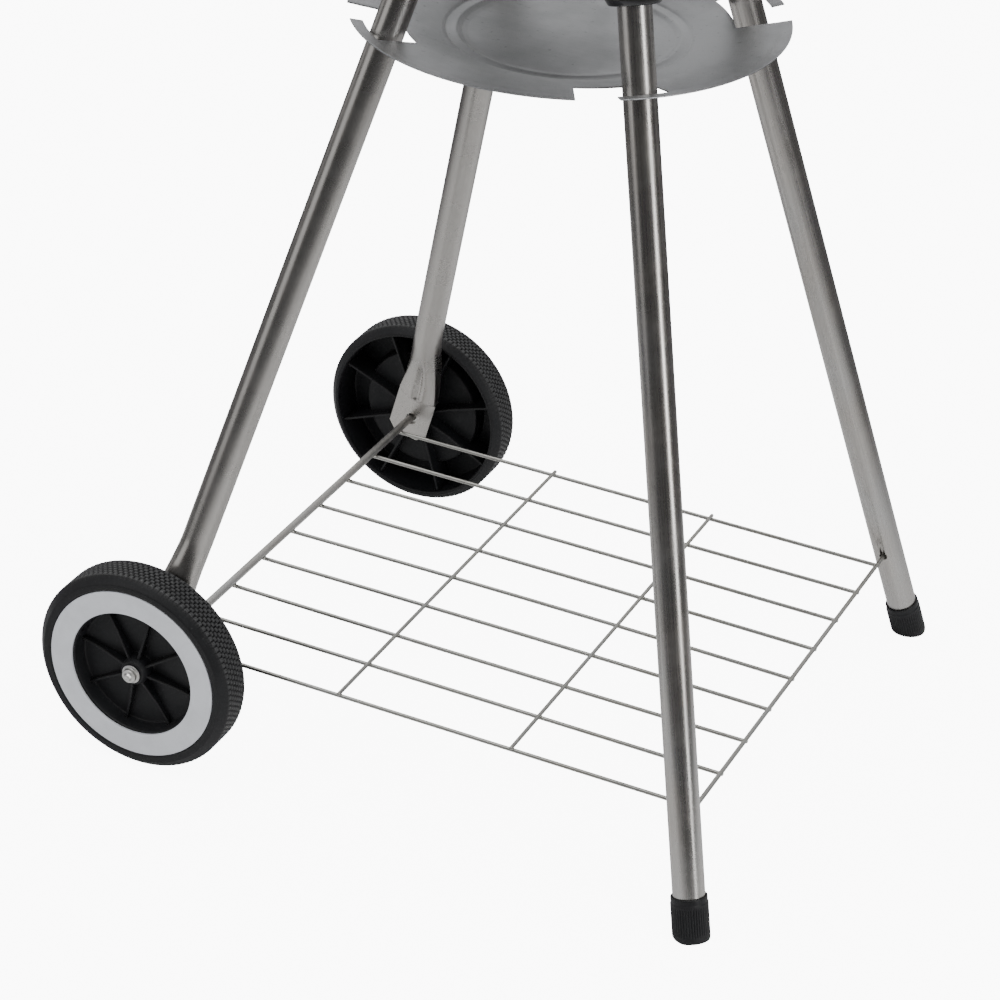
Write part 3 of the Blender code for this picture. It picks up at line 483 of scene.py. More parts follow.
def grain_group():
    """Fine parallel lines along a coordinate's Z: noise squeezed across and drawn out
    along. Lines is 0 to 1, and Drift is a broad slow change along the piece."""
    group, inside, outside = new_group(
        "lengthwise_grain",
        [("Vector", "NodeSocketVector", None), ("Scale", "NodeSocketFloat", 1.0)],
        [("Lines", "NodeSocketFloat"), ("Drift", "NodeSocketFloat")],
    )
    vector, scale = inside.outputs["Vector"], inside.outputs["Scale"]
    fine = noise(group, stretched(group, vector, (900, 900, 9)), scale, 2.0)
    broad = noise(group, stretched(group, vector, (160, 160, 5)), scale, 3.0)
    both = maths(group, "MULTIPLY_ADD", fine, 0.55, maths(group, "MULTIPLY", broad, 0.45))
    group.links.new(remap(group, both, 0.34, 0.66), outside.inputs["Lines"])
    slow = noise(group, stretched(group, vector, (30, 30, 11)), scale, 2.0)
    group.links.new(remap(group, slow, 0.36, 0.66), outside.inputs["Drift"])
    return group


def smudge_group():
    """Handling marks and thin dust: two sizes of soft cloudy patches from 0 to 1."""
    group, inside, outside = new_group(
        "handling_marks",
        [("Vector", "NodeSocketVector", None), ("Scale", "NodeSocketFloat", 18.0)],
        [("Patches", "NodeSocketFloat"), ("Specks", "NodeSocketFloat")],
    )
    vector, scale = inside.outputs["Vector"], inside.outputs["Scale"]
    cloud = noise(group, vector, scale, 5.0, 0.62)
    group.links.new(remap(group, cloud, 0.42, 0.68), outside.inputs["Patches"])
    small = noise(group, vector, maths(group, "MULTIPLY", scale, 30.0), 2.0)
    group.links.new(remap(group, small, 0.66, 0.74), outside.inputs["Specks"])
    return group


def pebble_group():
    """The fine pebbled skin of moulded or enamelled surfaces: small rounded cells."""
    group, inside, outside = new_group(
        "pebbled_skin",
        [("Vector", "NodeSocketVector", None), ("Scale", "NodeSocketFloat", 900.0)],
        [("Height", "NodeSocketFloat")],
    )
    cells = group.nodes.new("ShaderNodeTexVoronoi")
    cells.feature = "SMOOTH_F1"
    group.links.new(inside.outputs["Vector"], cells.inputs["Vector"])
    group.links.new(inside.outputs["Scale"], cells.inputs["Scale"])
    soft = noise(group, inside.outputs["Vector"], inside.outputs["Scale"], 2.0)
    height = maths(group, "MULTIPLY_ADD", cells.outputs["Distance"], 0.6, soft)
    group.links.new(height, outside.inputs["Height"])
    return group


SHADER_GROUPS = {}


def build_groups():
    """Makes the shared shader groups once."""
    SHADER_GROUPS["grain"] = grain_group()
    SHADER_GROUPS["smudge"] = smudge_group()
    SHADER_GROUPS["pebble"] = pebble_group()


# ---- materials ----
def start_material(name, metallic, rough):
    """A new material, its tree and its Principled shader with plain constants."""
    made = bpy.data.materials.new(name)
    made.use_nodes = True
    tree = made.node_tree
    shader = tree.nodes["Principled BSDF"]
    shader.inputs["Metallic"].default_value = metallic
    shader.inputs["Roughness"].default_value = rough
    return made, tree, shader


def place_group(tree, key, vector, **values):
    """A shared group in a material, with its own values."""
    node = tree.nodes.new("ShaderNodeGroup")
    node.node_tree = SHADER_GROUPS[key]
    tree.links.new(vector, node.inputs["Vector"])
    for label, value in values.items():
        node.inputs[label].default_value = value
    return node.outputs


def object_place(tree):
    """Object coordinates."""
    return tree.nodes.new("ShaderNodeTexCoord").outputs["Object"]


def grain_place(tree):
    """The piece's own straight coordinates, stored on its points."""
    node = tree.nodes.new("ShaderNodeAttribute")
    node.attribute_name = "grain"
    return node.outputs["Vector"]


def bump(tree, shader, height, distance, strength=1.0):
    """Feeds a height, in metres when distance is 1, to the shader's normal."""
    node = tree.nodes.new("ShaderNodeBump")
    node.inputs["Distance"].default_value = distance
    node.inputs["Strength"].default_value = strength
    tree.links.new(height, node.inputs["Height"])
    tree.links.new(node.outputs["Normal"], shader.inputs["Normal"])


def shade(base, factor):
    """A colour made lighter or darker."""
    return tuple(min(1.0, channel * factor) for channel in base)


def metal_look(name, base, rough_low, rough_high, tint, lines, dust):
    """Worked metal: lengthwise grain in roughness and relief, a warmer tint that drifts
    along it, and cloudy marks that dull it."""
    made, tree, shader = start_material(name, 1.0, rough_low)
    grain = place_group(tree, "grain", grain_place(tree), Scale=1.0)
    marks = place_group(tree, "smudge", object_place(tree), Scale=34.0)
    drifting = mixed(tree, grain["Drift"], base, tuple(np.multiply(base, tint)))
    darker = maths(tree, "MULTIPLY", grain["Lines"], lines)
    lined = mixed(tree, darker, drifting, shade(base, 0.45))
    dusty = mixed(tree, maths(tree, "MULTIPLY", marks["Patches"], dust), lined, shade(base, 1.3))
    tree.links.new(dusty, shader.inputs["Base Color"])
    dull = maths(tree, "MULTIPLY_ADD", marks["Patches"], 0.35, maths(tree, "MULTIPLY", grain["Lines"], 0.65))
    tree.links.new(remap(tree, dull, 0, 1, rough_low, rough_high), shader.inputs["Roughness"])
    bump(tree, shader, grain["Lines"], 0.00003, 0.5)
    return made


def pan_look(name, base):
    """Matt rolled sheet: very fine rolling lines, cloudy patches and a few dark specks."""
    made, tree, shader = start_material(name, 1.0, 0.4)
    place = object_place(tree)
    rolled = noise(tree, stretched(tree, place, (12, 1400, 40)), 1.0, 2.0)
    marks = place_group(tree, "smudge", place, Scale=9.0)
    cloudy = mixed(tree, marks["Patches"], base, shade(base, 0.84))
    lined = mixed(tree, remap(tree, rolled, 0.3, 0.7, 0.0, 0.22), cloudy, shade(base, 1.35))
    speckled = mixed(tree, maths(tree, "MULTIPLY", marks["Specks"], 0.35), lined, shade(base, 0.4))
    tree.links.new(speckled, shader.inputs["Base Color"])
    dull = maths(tree, "MULTIPLY_ADD", rolled, 0.5, maths(tree, "MULTIPLY", marks["Patches"], 0.5))
    tree.links.new(remap(tree, dull, 0.2, 0.8, 0.44, 0.60), shader.inputs["Roughness"])
    bump(tree, shader, rolled, 0.00002, 0.5)
    return made


def enamel_look(name, base):
    """Fired enamel: a hard gloss with the faint ripple of its coat and a little dust."""
    made, tree, shader = start_material(name, 0.0, 0.14)
    place = object_place(tree)
    marks = place_group(tree, "smudge", place, Scale=14.0)
    skin = place_group(tree, "pebble", place, Scale=260.0)
    dusty = mixed(tree, maths(tree, "MULTIPLY", marks["Patches"], 0.10), base, (0.09, 0.088, 0.085))
    speckled = mixed(tree, maths(tree, "MULTIPLY", marks["Specks"], 0.25), dusty, (0.16, 0.155, 0.15))
    tree.links.new(speckled, shader.inputs["Base Color"])
    tree.links.new(remap(tree, marks["Patches"], 0, 1, 0.10, 0.24), shader.inputs["Roughness"])
    shader.inputs["Coat Weight"].default_value = 0.6
    shader.inputs["Coat Roughness"].default_value = 0.06
    bump(tree, shader, skin["Height"], 0.00004, 0.35)
    return made


def plastic_look(name, base):
    """Moulded matt plastic: a pebbled skin, scuffs and pale dust."""
    made, tree, shader = start_material(name, 0.0, 0.5)
    place = object_place(tree)
    skin = place_group(tree, "pebble", place, Scale=1300.0)
    marks = place_group(tree, "smudge", place, Scale=26.0)
    greyed = mixed(tree, maths(tree, "MULTIPLY", marks["Patches"], 0.4), base, shade(base, 2.1))
    axial = tree.nodes.new("ShaderNodeVectorMath")
    axial.operation = "LENGTH"
    tree.links.new(stretched(tree, grain_place(tree), (1, 1, 0)), axial.inputs[0])
    worn = remap(tree, axial.outputs["Value"], 0.0751, 0.0757, 0.0, 0.75)
    greyed = mixed(tree, worn, greyed, (0.045, 0.045, 0.046))
    speckled = mixed(tree, maths(tree, "MULTIPLY", marks["Specks"], 0.25), greyed, (0.07, 0.07, 0.07))
    tree.links.new(speckled, shader.inputs["Base Color"])
    tree.links.new(remap(tree, marks["Patches"], 0, 1, 0.42, 0.62), shader.inputs["Roughness"])
    shader.inputs["Specular IOR Level"].default_value = 0.28
    bump(tree, shader, skin["Height"], 0.00008, 0.5)
    return made


def ring_look(name, base):
    """Pale satin trim: mottled, with a little grey in its pores."""
    made, tree, shader = start_material(name, 0.0, 0.4)
    place = object_place(tree)
    skin = place_group(tree, "pebble", place, Scale=1100.0)
    marks = place_group(tree, "smudge", place, Scale=60.0)
    mottled = mixed(tree, maths(tree, "MULTIPLY", marks["Patches"], 0.5), base, shade(base, 0.84))
    speckled = mixed(tree, maths(tree, "MULTIPLY", marks["Specks"], 0.3), mottled, shade(base, 0.5))
    tree.links.new(speckled, shader.inputs["Base Color"])
    tree.links.new(remap(tree, marks["Patches"], 0, 1, 0.32, 0.5), shader.inputs["Roughness"])
    bump(tree, shader, skin["Height"], 0.00005, 0.4)
    return made


def wood_look(name, base):
    """Oiled hardwood: rings drawn out along the grip, dark pores and a soft sheen."""
    made, tree, shader = start_material(name, 0.0, 0.42)
    place = grain_place(tree)
    warp = noise(tree, stretched(tree, place, (55, 55, 9)), 1.0, 3.0)
    rings = maths(tree, "FRACT", maths(tree, "MULTIPLY", warp, 9.0))
    pores = noise(tree, stretched(tree, place, (2600, 2600, 60)), 1.0, 2.0)
    figured = mixed(tree, rings, shade(base, 0.62), shade(base, 1.25))
    pitted = mixed(tree, remap(tree, pores, 0.52, 0.66, 0.0, 0.6), figured, shade(base, 0.3))
    tree.links.new(pitted, shader.inputs["Base Color"])
    tree.links.new(remap(tree, pores, 0.4, 0.7, 0.36, 0.62), shader.inputs["Roughness"])
    bump(tree, shader, pores, -0.00006, 0.5)
    return made


LOOKS = {}


def build_looks(colours):
    """Makes every finish once, under the name of its slot, and for the axle a copy of the zinc darkened as
    painted shade.
    """
    paint = {key: tuple(getattr(colours, key)) for key in colours.__annotations__}
    LOOKS["steel_tube"] = metal_look(
        "polished_tube", paint["tube"], 0.20, 0.40, (0.97, 0.93, 0.89), 0.28, 0.10
    )
    LOOKS["wire_steel"] = metal_look(
        "drawn_wire", paint["wire"], 0.28, 0.46, (0.95, 0.92, 0.86), 0.30, 0.15
    )
    # The axle's zinc: the plated zinc darkened to 0.72 as painted shade, with a rougher, more lined grain.
    LOOKS["dull_zinc"] = metal_look(
        "dull_zinc", shade(paint["zinc"], 0.72), 0.30, 0.48, (0.97, 0.93, 0.88), 0.20, 0.15
    )
    LOOKS["bright_zinc"] = metal_look(
        "bright_zinc", paint["zinc"], 0.27, 0.42, (0.98, 0.96, 0.92), 0.06, 0.10
    )
    LOOKS["grate_steel"] = metal_look(
        "plated_grate", paint["grate"], 0.18, 0.34, (0.97, 0.95, 0.92), 0.20, 0.10
    )
    LOOKS["pan_metal"] = pan_look("rolled_sheet", paint["pan"])
    LOOKS["black_enamel"] = enamel_look("fired_enamel", paint["enamel"])
    LOOKS["black_plastic"] = plastic_look("moulded_plastic", paint["plastic"])
    LOOKS["pale_ring"] = ring_look("pale_trim", paint["ring"])
    LOOKS["grip_wood"] = wood_look("oiled_wood", paint["wood"])


# ---- legs ----
def leg_line(sizes, side_x, side_y, height):
    """Points of a leg's centre line at heights."""
    share = np.asarray(height, float) / sizes.top_z
    x = sizes.floor_x + (sizes.top - sizes.floor_x) * share
    y = sizes.floor_y + (sizes.top - sizes.floor_y) * share
    return np.stack([side_x * x, side_y * y, np.asarray(height, float) * np.ones_like(x)], axis=-1)


def leg_up(sizes, side_x, side_y):
    """The unit direction up a leg."""
    low, high = leg_line(sizes, side_x, side_y, [0.0, sizes.top_z])
    return unit(high - low)


def tube_grain(angle, heights):
    """Straight coordinates of a tube's rows: a circle at each row's height."""
    heights = heights[:, None] * np.ones(AROUND_TUBE)
    cos, sin = np.cos(angle) * TUBE_GRAIN, np.sin(angle) * TUBE_GRAIN
    return np.stack([cos + 0 * heights, sin + 0 * heights, heights], axis=-1)


def footed_leg(sizes, side_y, rod_z):
    """A straight tube: a ring of outer and inner rows round the centre line, with the
    rows pushed in round the hole that takes the rack's edge rod."""
    axis = leg_up(sizes, 1, side_y)
    foot = leg_line(sizes, 1, side_y, 0.0) + axis * 0.004
    long = np.linalg.norm(leg_line(sizes, 1, side_y, sizes.top_z) - foot)
    hole = leg_line(sizes, 1, side_y, rod_z)
    hole_at = (hole - foot) @ axis
    near = np.linspace(-0.0045, 0.0045, 25) + hole_at
    rows = np.concatenate([[0.0], near, np.linspace(near[-1] + 0.01, long, 24)])
    bore = sizes.radius - sizes.wall
    angle = TURN * np.arange(AROUND_TUBE) / AROUND_TUBE
    side, front, _ = basis(axis)
    around = np.cos(angle)[:, None] * side + np.sin(angle)[:, None] * front
    shell = foot + rows[:, None, None] * axis + around * sizes.radius
    away = shell - hole
    inward = np.array([0.0, -side_y, 0.0])
    from_axis = np.linalg.norm(away - (away @ inward)[..., None] * inward, axis=-1)
    facing = away @ inward > 0
    sink = (1 - smooth_step(from_axis, 0.0021, 0.0030)) * facing
    shell = shell - sink[..., None] * inward * 0.0030
    inner = foot + rows[::-1, None, None] * axis + around * bore * 0.7
    places = np.concatenate([shell, inner])
    return closed(places, tube_grain(angle, np.concatenate([rows, rows[::-1]])), ring=True)


PRESSED = (
    # height over the axle, half width, half thickness
    (-0.0165, 0.01675, 0.00135), (0.0215, 0.01675, 0.00135), (0.0240, 0.01650, 0.0060),
    (0.0330, 0.0152, 0.0072), (0.0420, 0.0138, 0.0084), (0.0550, 0.0126, 0.0097),
    (0.0700, 0.0116, 0.0106), (0.0850, 0.0110, 0.0110), (1.0, 0.0110, 0.0110),
)


def wheel_leg(sizes, side_y):
    """A tube whose lower end is pressed flat. Each row is a section with half width w
    and half thickness t: width direction x w x |cos|^a + thin direction x t x |sin|^b,
    where a and b fall below 1 as the end gets flatter. The crease above the flat hangs
    in a vee, a groove runs up from it, and the flat's lower corners are clipped."""
    axis = leg_up(sizes, -1, side_y)
    lean = unit(axis * (1, 0, 1))
    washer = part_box("wheel_washer_back")[0].y
    flat_y = washer - GAP - sizes.flat_thick / 2
    drop = AXLE[2]
    rows = drop + np.concatenate([
        np.linspace(-0.0165, -0.006, 16), np.linspace(-0.005, 0.030, 76),
        np.linspace(0.031, 0.092, 62), np.linspace(0.096, sizes.top_z - drop, 24),
    ])
    station, widths, thicks = np.array(PRESSED).T
    angle = TURN * np.arange(AROUND_TUBE) / AROUND_TUBE
    cos, sin = np.cos(angle), np.sin(angle)
    vee = 0.0038 * (1 - np.abs(cos)) + 0.0010 * (1 + cos)
    above = rows[:, None] - drop + vee * np.exp(-(((rows - drop - 0.022) / 0.012) ** 2))[:, None]
    half_width = np.interp(rows - drop, station, widths)[:, None]
    half_thick = np.interp(above, station, thicks)
    clip = np.clip((rows - rows[0]) / 0.0080, 0, 1)[:, None]
    half_width = half_width * (0.62 + 0.38 * np.minimum(1, clip * 1.35))
    flat = 1 - smooth_step(above, 0.030, 0.085)
    centre = leg_line(sizes, -1, side_y, rows)
    blend = (1 - smooth_step(rows, drop + 0.020, drop + 0.090))[:, None]
    centre[:, 1] = side_y * (np.abs(centre[:, 1]) * (1 - blend[:, 0]) + flat_y * blend[:, 0])
    up = unit(axis * (1 - blend) + lean * blend)
    flat_x = np.array([lean[2], 0.0, -lean[0]])
    across = unit(flat_x - up * (up @ flat_x)[:, None])
    thin = np.cross(up, across)
    wide = np.sign(cos) * np.abs(cos) ** (1 - 0.30 * flat)
    deep = np.sign(sin) * np.abs(sin) ** (1 - 0.62 * flat)
    inner_side = thin[:, 1:2] * deep * -side_y > 0
    reach = smooth_step(above, 0.0235, 0.027) * (1 - smooth_step(above, 0.036, 0.066))
    groove = np.exp(-(((wide - 0.06) / 0.16) ** 2)) * reach * inner_side
    deep = deep * (1 - 0.34 * groove)
    places = (
        centre[:, None]
        + across[:, None] * (wide * half_width)[..., None]
        + thin[:, None] * (deep * half_thick)[..., None]
    )
    start, end = places[:1].mean(axis=1, keepdims=True), places[-1:].mean(axis=1, keepdims=True)
    places = np.concatenate([start.repeat(AROUND_TUBE, 1), places, end.repeat(AROUND_TUBE, 1)])
    heights = np.concatenate([rows[:1], rows, rows[-1:]])
    return closed(places, tube_grain(angle, heights)), flat_y


def foot_cap(sizes, side_y):
    """A cap turned round the leg, its wall waved by fine ribs, levelled at the floor by
    moving what lies below it up along the leg."""
    axis = leg_up(sizes, 1, side_y)
    low = leg_line(sizes, 1, side_y, 0.0) - axis * 0.003
    outer, bore, top = sizes.cap_radius, sizes.radius + GAP, 0.031
    profile = softened(
        [(0, 0), (outer - 0.0004, 0), (outer, 0.0022), (outer, 0.0262), (outer - 0.0004, 0.0270),
         (outer - 0.0004, top), (bore, top), (bore, 0.0068), (0, 0.0068)],
        0.0009,
    )
    profile = dense(profile, 0.0012)

    def ribs(angle, height, radius):
        band = smooth_step(height, 0.0040, 0.0055) * (1 - smooth_step(height, 0.0240, 0.0255))
        wave = np.abs(np.sin(angle * sizes.cap_ribs / 2)) ** 0.6
        return radius - np.where(radius > bore + 0.0008, band * (1 - wave) * 0.00055, 0.0)

    places, local, quads, triangles = turned(profile, sizes.cap_ribs * 6, low, axis, radial=ribs)
    below = np.minimum(places[:, 2], 0.0)
    places = places - axis * (below / axis[2])[:, None]
    return places, local, quads, triangles


def bowl_sphere():
    """The centre height and radius of the sphere the bowl is part of: the radius is
    (opening squared + depth squared) / (2 x depth)."""
    depth = BOWL_SIZE[2]
    radius = (BOWL_OPEN * BOWL_OPEN + depth * depth) / (2 * depth)
    return BOWL_LOW[2] + radius, radius


def leg_socket(sizes, side_x, side_y):
    """A boss turned round the leg; points that would enter the bowl stop at its skin,
    found where the line along the leg meets the bowl's sphere."""
    axis = leg_up(sizes, side_x, side_y)
    mouth = leg_line(sizes, side_x, side_y, sizes.socket_mouth)
    outer, bore = sizes.socket_radius, sizes.radius + GAP
    profile = softened(
        [(0, 0.024), (bore, 0.024), (bore, 0), (outer - 0.002, 0), (outer, 0.004),
         (outer - 0.0015, 0.050), (0, 0.050)],
        0.0016,
    )
    places, local, quads, triangles = turned(dense(profile, 0.004), 96, mouth, axis)
    height, radius = bowl_sphere()
    away = places - np.array([0, 0, height])
    along = away @ axis
    skin = radius + GAP
    inside = skin - np.linalg.norm(away, axis=1)
    back = along + np.sqrt(np.maximum(along**2 - (away**2).sum(axis=1) + skin**2, 0))
    places = places - axis * np.where(inside > 0, back, 0)[:, None]
    return places, local, quads, triangles


def leg_screw(sizes, side_x, side_y):
    """A hexagon head on a washer: the turned radius follows a hexagon between its flat
    and its corner, r = flat / cos(angle from the nearest flat's middle)."""
    axis = leg_up(sizes, side_x, side_y)
    away = unit(np.array([side_x, side_y, 0.0]))
    away = unit(away - axis * (away @ axis))
    start = leg_line(sizes, side_x, side_y, sizes.screw_height)
    under = sizes.socket_radius + GAP
    top, collar = under + 0.0032, under + 0.0009
    head = softened(
        [(0, top), (0.0036, top), (0.0036, collar), (0.0044, collar), (0.0044, under),
         (0.0020, under), (0.0020, 0.006), (0, 0.006)],
        0.0003,
    )

    def hexagon(angle, height, radius):
        wrapped = np.mod(angle, TURN / 6) - TURN / 12
        flat = radius / np.cos(wrapped) * 0.93
        return np.where((height > under + 0.0010) & (radius > 0.003), np.minimum(flat, 0.0041), radius)

    return turned(dense(head, 0.0008), 48, start, away, radial=hexagon)


class GRILL_OT_legs(Operator):
    """Builds the four tubes, their sockets, screws and foot caps"""

    bl_idname = "grill.legs"
    bl_label = "Legs, Sockets and Feet"

    def execute(self, context):
        sizes = context.scene.grill_legs
        rod_z = RACK_HIGH[2] - 0.002
        for end, side_y in ENDS:
            make_piece("footed_leg_" + end, [footed_leg(sizes, side_y, rod_z)], "frame",
                       ["leg_right_" + end], "steel_tube")
            tube, flat_y = wheel_leg(sizes, side_y)
            hole = AXLE + X * 0.0006 - Z * 0.0004 + Y * side_y * flat_y
            run = (hole - Y * 0.004, hole + Y * 0.004, 0.0048)
            mesh = drilled("wheel_leg_" + end, [tube], [run])
            finish_mesh("wheel_leg_" + end, mesh, "frame", ["leg_left_" + end], "steel_tube", 80)
            make_piece("ribbed_cap_" + end, [foot_cap(sizes, side_y)], "frame",
                       ["foot_cap_" + end], "black_plastic", sharp=60)
            for flank, side_x in FLANKS:
                place = flank + "_" + end
                make_piece("socket_" + place, [leg_socket(sizes, side_x, side_y)], "frame",
                           ["leg_socket_" + place], "black_enamel", sharp=60)
                make_piece("hex_screw_" + place, [leg_screw(sizes, side_x, side_y)], "frame",
                           ["leg_screw_" + place], "bright_zinc")
        return {"FINISHED"}


# ---- wheels and axle ----
RIB_SPIN = {"front": math.radians(9.5), "back": math.radians(-3.0)}
WHEEL_WIDE = WHEEL_SIZE[1]
RING_SEAT = WHEEL_WIDE - 0.0026  # height of the face the trim ring sits on
WEB_LOW = (WHEEL_WIDE + 0.001 - 0.003) / 2
WEB_HIGH = WEB_LOW + 0.003
HUB_END = 0.030
AXLE_BORE = 0.0033


def wheel_profile(sizes):
    """(radius, height) round a wheel's section, height 0 at its inner face."""
    hub, web = sizes.hub_radius, sizes.web_radius
    rim, shoulder, flank = WHEEL_SIZE[2] / 2, WHEEL_SIZE[2] / 2 - 0.0006, 0.0702
    edge = sizes.ring_out + 0.0004
    inner = [
        (AXLE_BORE, HUB_END), (hub - 0.0012, HUB_END), (hub, HUB_END - 0.004),
        (hub + 0.0006, WEB_HIGH), (web, WEB_HIGH), (0.0470, RING_SEAT), (edge, RING_SEAT),
        (edge, WHEEL_WIDE - 0.0006), (edge + 0.0012, WHEEL_WIDE - 0.0002), (flank, WHEEL_WIDE),
        (shoulder, WHEEL_WIDE - 0.0052),
    ]
    outer = [
        (shoulder, 0.0052), (flank, 0.0), (0.0680, 0.0), (0.0665, RING_SEAT - 0.003),
        (0.0500, RING_SEAT - 0.003), (web + 0.003, WEB_LOW), (hub + 0.0006, WEB_LOW), (hub, 0.0),
        (AXLE_BORE, 0.0),
    ]
    first = softened(inner, 0.0014, 5)
    last = softened(outer, 0.0014, 5)
    tread = np.stack([np.full(61, rim), np.linspace(WHEEL_WIDE - 0.0062, 0.0062, 61)], axis=1)
    return np.concatenate([dense(first, 0.004), tread, dense(last, 0.004)])


def tread_blocks(sizes):
    """How the tread's radius drops between its blocks: rows across, each row's blocks
    half a block on from the last, with a shallow groove between rows."""
    low, high = 0.0055, WHEEL_WIDE - 0.0055

    def radial(angle, height, radius):
        share = (height - low) / (high - low)
        on_tread = (share > 0) & (share < 1) & (radius > 0.0752)
        row = np.clip(share, 0, 0.9999) * sizes.rows
        turn = angle * sizes.blocks / TURN + 0.5 * np.floor(row)
        across = np.abs(np.mod(row, 1.0) - 0.5) * 2
        along = np.abs(np.mod(turn, 1.0) - 0.5) * 2
        drop = np.maximum(smooth_step(across, 0.62, 0.95), smooth_step(along, 0.50, 0.90))
        return radius - np.where(on_tread, drop * sizes.groove, 0.0)

    return radial


def plate(corners, half, thick_axis):
    """A flat plate from an outline of corners, with a bevelled edge all round: six rows
    that run from its middle over the edge and back."""
    outline = np.array(corners, float)
    middle = outline.mean(axis=0)
    shrink = 0.0004
    inset = middle + (outline - middle) * (1 - shrink / np.linalg.norm(outline - middle, axis=1))[:, None]
    axis = np.array(thick_axis, float)
    rows = [
        np.repeat(middle[None] + axis * half, len(outline), axis=0), inset + axis * half,
        outline + axis * (half - shrink), outline - axis * (half - shrink),
        inset - axis * half, np.repeat(middle[None] - axis * half, len(outline), axis=0),
    ]
    return closed(np.stack(rows), np.zeros(3))


def wheel_ribs(sizes, side, end, inner_y):
    """Thin radial plates on both faces of the web, each an outline in the plane of the
    axle and a spoke: place = axle + distance x spoke + height x outwards."""
    hub, web = sizes.hub_radius - 0.001, sizes.web_radius
    outlines = [
        [(hub, WEB_LOW + 0.002), (hub, WEB_LOW + 0.0108), (0.030, WEB_LOW + 0.0074),
         (web + 0.0008, WEB_LOW + 0.0066), (web + 0.0004, WEB_LOW + 0.002)],
        [(hub, 0.0035), (0.030, 0.0055), (0.0672, 0.0030), (0.0668, RING_SEAT - 0.002),
         (web + 0.004, RING_SEAT - 0.002), (web + 0.002, WEB_LOW + 0.001), (hub, WEB_LOW + 0.001)],
    ]
    made = []
    for number in range(sizes.rib_count):
        angle = TURN * (number + 0.5) / sizes.rib_count + RIB_SPIN[end]
        spoke = np.array([math.cos(angle), 0.0, math.sin(angle)])
        for outline in outlines:
            corners = [
                AXLE + spoke * distance + Y * side * (inner_y + height)
                for distance, height in outline
            ]
            made.append(plate(corners, sizes.rib_thick / 2, np.cross(spoke, Y)))
    return made


class GRILL_OT_wheels(Operator):
    """Builds both wheels with their trim rings, washers and axle caps"""

    bl_idname = "grill.wheels"
    bl_label = "Wheels"

    def execute(self, context):
        sizes = context.scene.grill_wheels
        inner_y = WHEEL_LOW[1]
        for end, side in ENDS:
            face = AXLE + Y * side * inner_y
            tyre = turned(wheel_profile(sizes), sizes.blocks * 4, face, Y * side, ring=True,
                          radial=tread_blocks(sizes))
            ribs = wheel_ribs(sizes, side, end, inner_y)
            make_piece("tyred_wheel_" + end, [tyre] + ribs, end + "_wheel", ["wheel_" + end],
                       "black_plastic", sharp=42)
            self.small_parts(sizes, end, side, face)
        return {"FINISHED"}

    def small_parts(self, sizes, end, side, face):
        """The trim ring, washer and cap of one wheel."""
        low = WHEEL_WIDE - 0.0023
        middle, high = low + 0.001, low + 0.002
        inside, outside = sizes.ring_in, sizes.ring_out
        ring = softened(
            [(inside, middle), (inside, high), (outside, high), (outside, low), (inside, low),
             (inside, middle)],
            0.0005,
        )
        make_piece("trim_ring_" + end, [turned(dense(ring[:-1], 0.003), 160, face, Y * side, ring=True)],
                   end + "_wheel", ["wheel_ring_" + end], "pale_ring")
        washer = softened(
            [(AXLE_BORE, 0.0008), (AXLE_BORE, 0.0015), (0.008, 0.0015), (0.008, 0.0), (AXLE_BORE, 0.0),
             (AXLE_BORE, 0.0008)],
            0.0004,
        )
        start = self.inner_end("wheel_washer_" + end, side)
        make_piece("flat_washer_" + end, [turned(washer[:-1], 64, start, Y * side, ring=True)], "frame",
                   ["wheel_washer_" + end], "bright_zinc")
        start = self.inner_end("axle_cap_" + end, side)
        cap = softened([(0, 0.0064), (0.0012, 0.0068), (0.0023, 0.0066), (0.0030, 0.0050), (0.0036, 0.0046),
                        (0.0047, 0.0046), (0.0052, 0.0040), (0.0053, 0.0014), (0.0069, 0.0012), (0.0070, 0.0),
                        (AXLE_BORE, 0.0), (AXLE_BORE, 0.0040), (0, 0.0040)], 0.0004)
        make_piece("push_cap_" + end, [turned(cap, 64, start, Y * side)], "frame",
                   ["axle_cap_" + end], "bright_zinc", sharp=60)

    def inner_end(self, node, side):
        """The point of the axle at the end of a small part that faces the grill's middle."""
        low, high, _ = box_size(node)
        return AXLE + Y * (low[1] if side > 0 else high[1])


# ---- rack ----
def bow(start, end, sway, count=25):
    """A nearly straight wire: start to end plus a half sine of sway across."""
    arch = np.sin(np.linspace(0, np.pi, count))[:, None]
    return straight(start, end, count) + Y * sway * arch


def weld(place, radius):
    """A small flattened bead of weld metal: a turned half ellipse each way."""
    angle = np.linspace(0, np.pi, 7)
    return turned(np.stack([radius * np.sin(angle), 0.6 * radius * np.cos(angle)], axis=1), 10, place)


